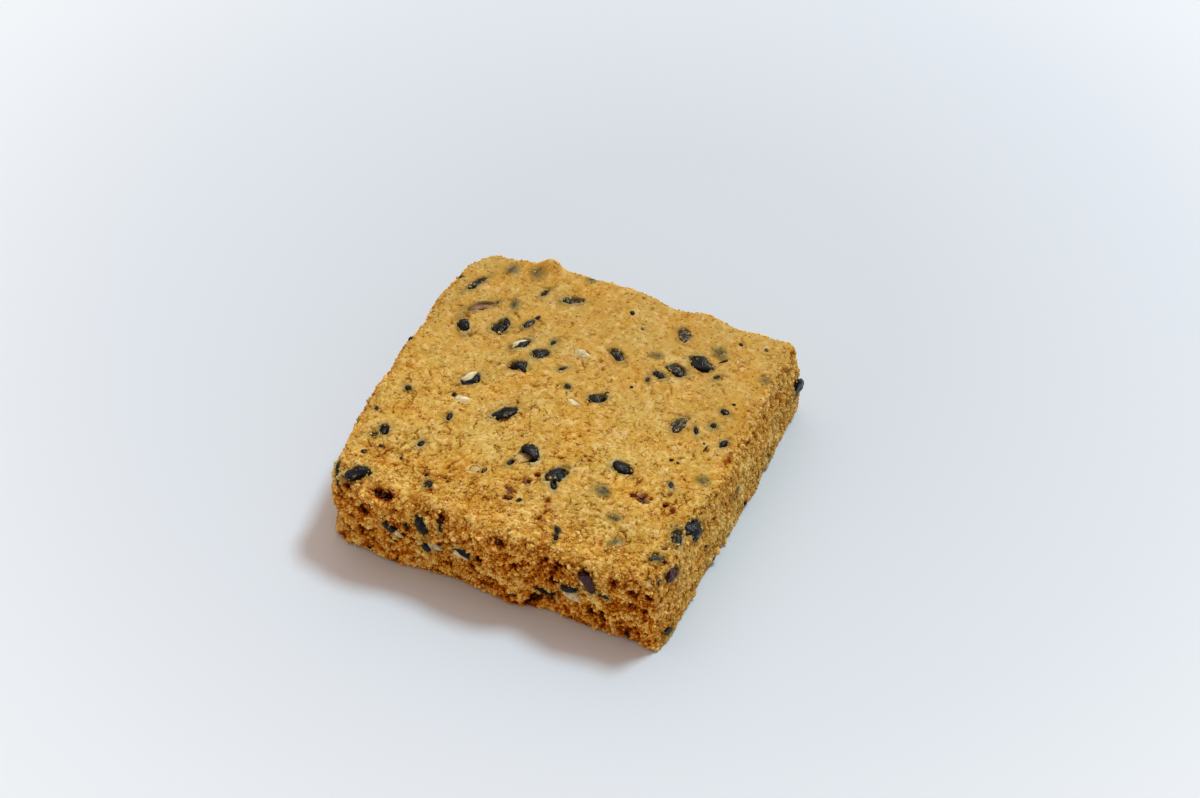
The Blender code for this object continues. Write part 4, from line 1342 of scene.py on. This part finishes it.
def kernel_material():
    m = Tree("pale_kernel")
    dust, tint = m.value("dust"), m.value("tint")
    broad = m.noise(0.8, 2.0, 0.5)
    colour = m.ramp(m.span(broad, 0.3, 0.7), (
        (0.0, (0.42, 0.34, 0.160)),
        (0.5, (0.68, 0.58, 0.330)),
        (1.0, (0.90, 0.82, 0.580)),
    ))
    colour = m.mix(m.span(tint, 0.4, 1.0, 0.0, 0.5), colour, (0.34, 0.34, 0.19))
    film = m.span(m.maths("ADD", m.noise(0.45, 3.0, 0.6, 0.5), m.span(dust, 0.0, 1.0, -0.08, 0.28)), 0.50, 0.60)
    colour = m.mix(m.maths("MULTIPLY", film, 0.90), colour, (0.50, 0.34, 0.09))
    # torn black skin left on it
    skin = m.span(m.noise(0.6, 3.0, 0.6, 1.7), 0.63, 0.67)
    colour = m.mix(m.maths("MULTIPLY", skin, m.span(tint, 0.30, 0.45, 0.0, 0.85)), colour, (0.030, 0.034, 0.030))
    m.put(m.shader.inputs["Base Color"], colour)
    m.put(m.shader.inputs["Roughness"], m.span(broad, 0.3, 0.7, 0.42, 0.6))
    m.put(m.shader.inputs["Normal"], m.bump(m.noise(0.2, 3.0, 0.6, 0.2), 0.03, 0.6))
    return m.mat


# ------------------------------------------------------------------ stage, light, camera
def stage_floor():
    bpy.ops.mesh.primitive_grid_add(x_subdivisions=4, y_subdivisions=4, size=3.0, location=(0, 0, -0.00002))
    floor = bpy.context.active_object
    floor.name = "floor"
    m = Tree("pale_floor")
    node = m.t.nodes.new("ShaderNodeVectorMath")
    node.operation = "DISTANCE"
    m.t.links.new(m.coords, node.inputs[0])
    node.inputs[1].default_value = (0.001, 0.027, 0.0)
    # painted light falloff: the floor is darker close to the cookie and lighter further out
    colour = m.ramp(m.span(node.outputs["Value"], 0.025, 0.095), (
        (0.0, (0.574, 0.642, 0.716)),
        (0.5, (0.646, 0.718, 0.800)),
        (1.0, (0.764, 0.832, 0.902)),
    ))
    m.put(m.shader.inputs["Base Color"], colour)
    m.shader.inputs["Roughness"].default_value = 0.9
    m.shader.inputs["Specular IOR Level"].default_value = 0.1
    floor.data.materials.append(m.mat)
    return floor


YAW, PITCH, ROLL = math.radians(24.344), math.radians(47.654), math.radians(0.5)
EYE = (0.090164, -0.190083, 0.241937)
LENS_PIXELS = 3000.0


def camera():
    data = bpy.data.cameras.new("camera")
    data.sensor_fit = "HORIZONTAL"
    data.sensor_width = 36.0
    data.lens = LENS_PIXELS / 1200.0 * 36.0
    data.clip_start, data.clip_end = 0.01, 10.0
    ob = bpy.data.objects.new("camera", data)
    turn = Matrix.Rotation(YAW, 4, "Z") @ Matrix.Rotation(math.pi / 2 - PITCH, 4, "X") @ Matrix.Rotation(-ROLL, 4, "Z")
    ob.matrix_world = Matrix.Translation(EYE) @ turn
    bpy.context.scene.collection.objects.link(ob)
    bpy.context.scene.camera = ob
    return ob


def area_light(name, towards, distance, size, power, colour):
    """A square soft light that faces the cookie from a direction."""
    data = bpy.data.lights.new(name, "AREA")
    data.shape = "DISK"
    data.size = size
    data.energy = power
    data.color = colour
    ob = bpy.data.objects.new(name, data)
    d = unit(np.array(towards, float))
    ob.location = tuple(d * distance)
    z = d
    x = unit(np.cross((0, 0, 1), z))
    y = np.cross(z, x)
    turn = Matrix([[x[0], y[0], z[0]], [x[1], y[1], z[1]], [x[2], y[2], z[2]]]).to_4x4()
    ob.matrix_world = Matrix.Translation(ob.location) @ turn
    bpy.context.scene.collection.objects.link(ob)
    return ob


def light():
    world = bpy.data.worlds.new("world")
    bpy.context.scene.world = world
    world.use_nodes = True
    back = world.node_tree.nodes["Background"]
    back.inputs["Color"].default_value = (1.0, 0.735, 0.595, 1.0)
    back.inputs["Strength"].default_value = 0.50
    el = math.radians(59.5)
    right = np.array([math.cos(YAW), math.sin(YAW)])
    behind = np.array([-math.sin(YAW), math.cos(YAW)])
    side = 0.80 * right + 0.60 * behind
    towards = (side[0] * math.cos(el), side[1] * math.cos(el), math.sin(el))
    area_light("key", towards, 1.60, 0.37, 17.4, (0.72, 0.92, 1.0))
    high = math.radians(62)
    towards = (behind[0] * math.cos(high), behind[1] * math.cos(high), math.sin(high))
    area_light("sky", towards, 1.80, 2.60, 13.6, (1.0, 0.81, 0.70))


def main():
    scene = bpy.context.scene
    scene.view_settings.view_transform = "Standard"
    scene.view_settings.look = "None"
    form = Slab()
    normals = form.normals(form.p)
    lying = Lying(form, normals)
    lift, coarse, grain, lump = relief(form.p, normals)
    cut_cracks(form, normals, lift)
    press_pits(form.p, lift)
    stain = np.zeros(len(lift))
    dark = np.zeros(len(lift))
    seat(form.p, normals, lift, stain, dark, lying)
    under = form.is_under
    lift = np.where(under, np.minimum(lift - 0.02, 0.0), lift)
    p = form.p + normals * lift[:, None]
    foot = form.p[:, 2] < 0.02
    p[:, 2] = np.where(foot & ~under, 0.0, np.maximum(p[:, 2], 0.0))
    shade_warm, calm = shade_warmth(form.p, normals), calmness(form.p, normals)

    crumb, seed, kernel = crumb_material(), seed_material(), kernel_material()
    pieces = []
    level = lift / (0.11 + 0.13 * coarse)
    fields = {"lift": level, "stain": stain, "dark": dark, "shade_warm": shade_warm, "calm": calm, "coarse": coarse}
    values = {"lift": level, "tint": 0.6 * grain + 0.4 * lump, "stain": stain, "dark": dark, "shade_warm": shade_warm, "calm": calm}
    for body in make_body(form, p, values, crumb):
        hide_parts("cookie")
        pieces.append((body, "baked_dough"))

    fine = np.where(form.p[:, 2] < 0.25, 0.0, 1.0 - 0.45 * coarse)
    rough = np.where(form.p[:, 2] < 0.25, 0.0, np.clip(coarse - 0.12, 0, 1))
    pieces.append((grains("grains_fine", form, p, normals, fields, fine, 6000, (0.16, 0.32), (-0.16, 0.05), 0, 51, crumb, lying), "baked_dough"))
    pieces.append((grains("grains_coarse", form, p, normals, fields, rough, 9700, (0.19, 0.42), (-0.14, 0.13), 0, 52, crumb, lying), "baked_dough"))
    front = np.where(form.p[:, 2] < 0.25, 0.0, shade_warm * np.clip(coarse - 0.3, 0, 1))
    pieces.append((grains("grains_small", form, p, normals, fields, front, 3400, (0.16, 0.30), (-0.05, 0.22), 0, 54, crumb, lying), "baked_dough"))
    pieces.append((grains("crumbs", form, p, normals, fields, rough ** 1.5, 620, (0.38, 0.70), (-0.26, 0.02), 1, 53, crumb, lying), "baked_dough"))
    made, stuck = make_seeds(lying, {"seed": seed, "kernel": kernel})
    pieces.append((stuck_grains(stuck, form, fields, crumb), "baked_dough"))
    for ob, name in zip(made, ("black_seed", "pale_kernel", "black_seed", "black_seed")):
        pieces.append((ob, name))
    for ob, name in pieces:
        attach(ob, "root")

    stage_floor()
    light()
    camera()


main()
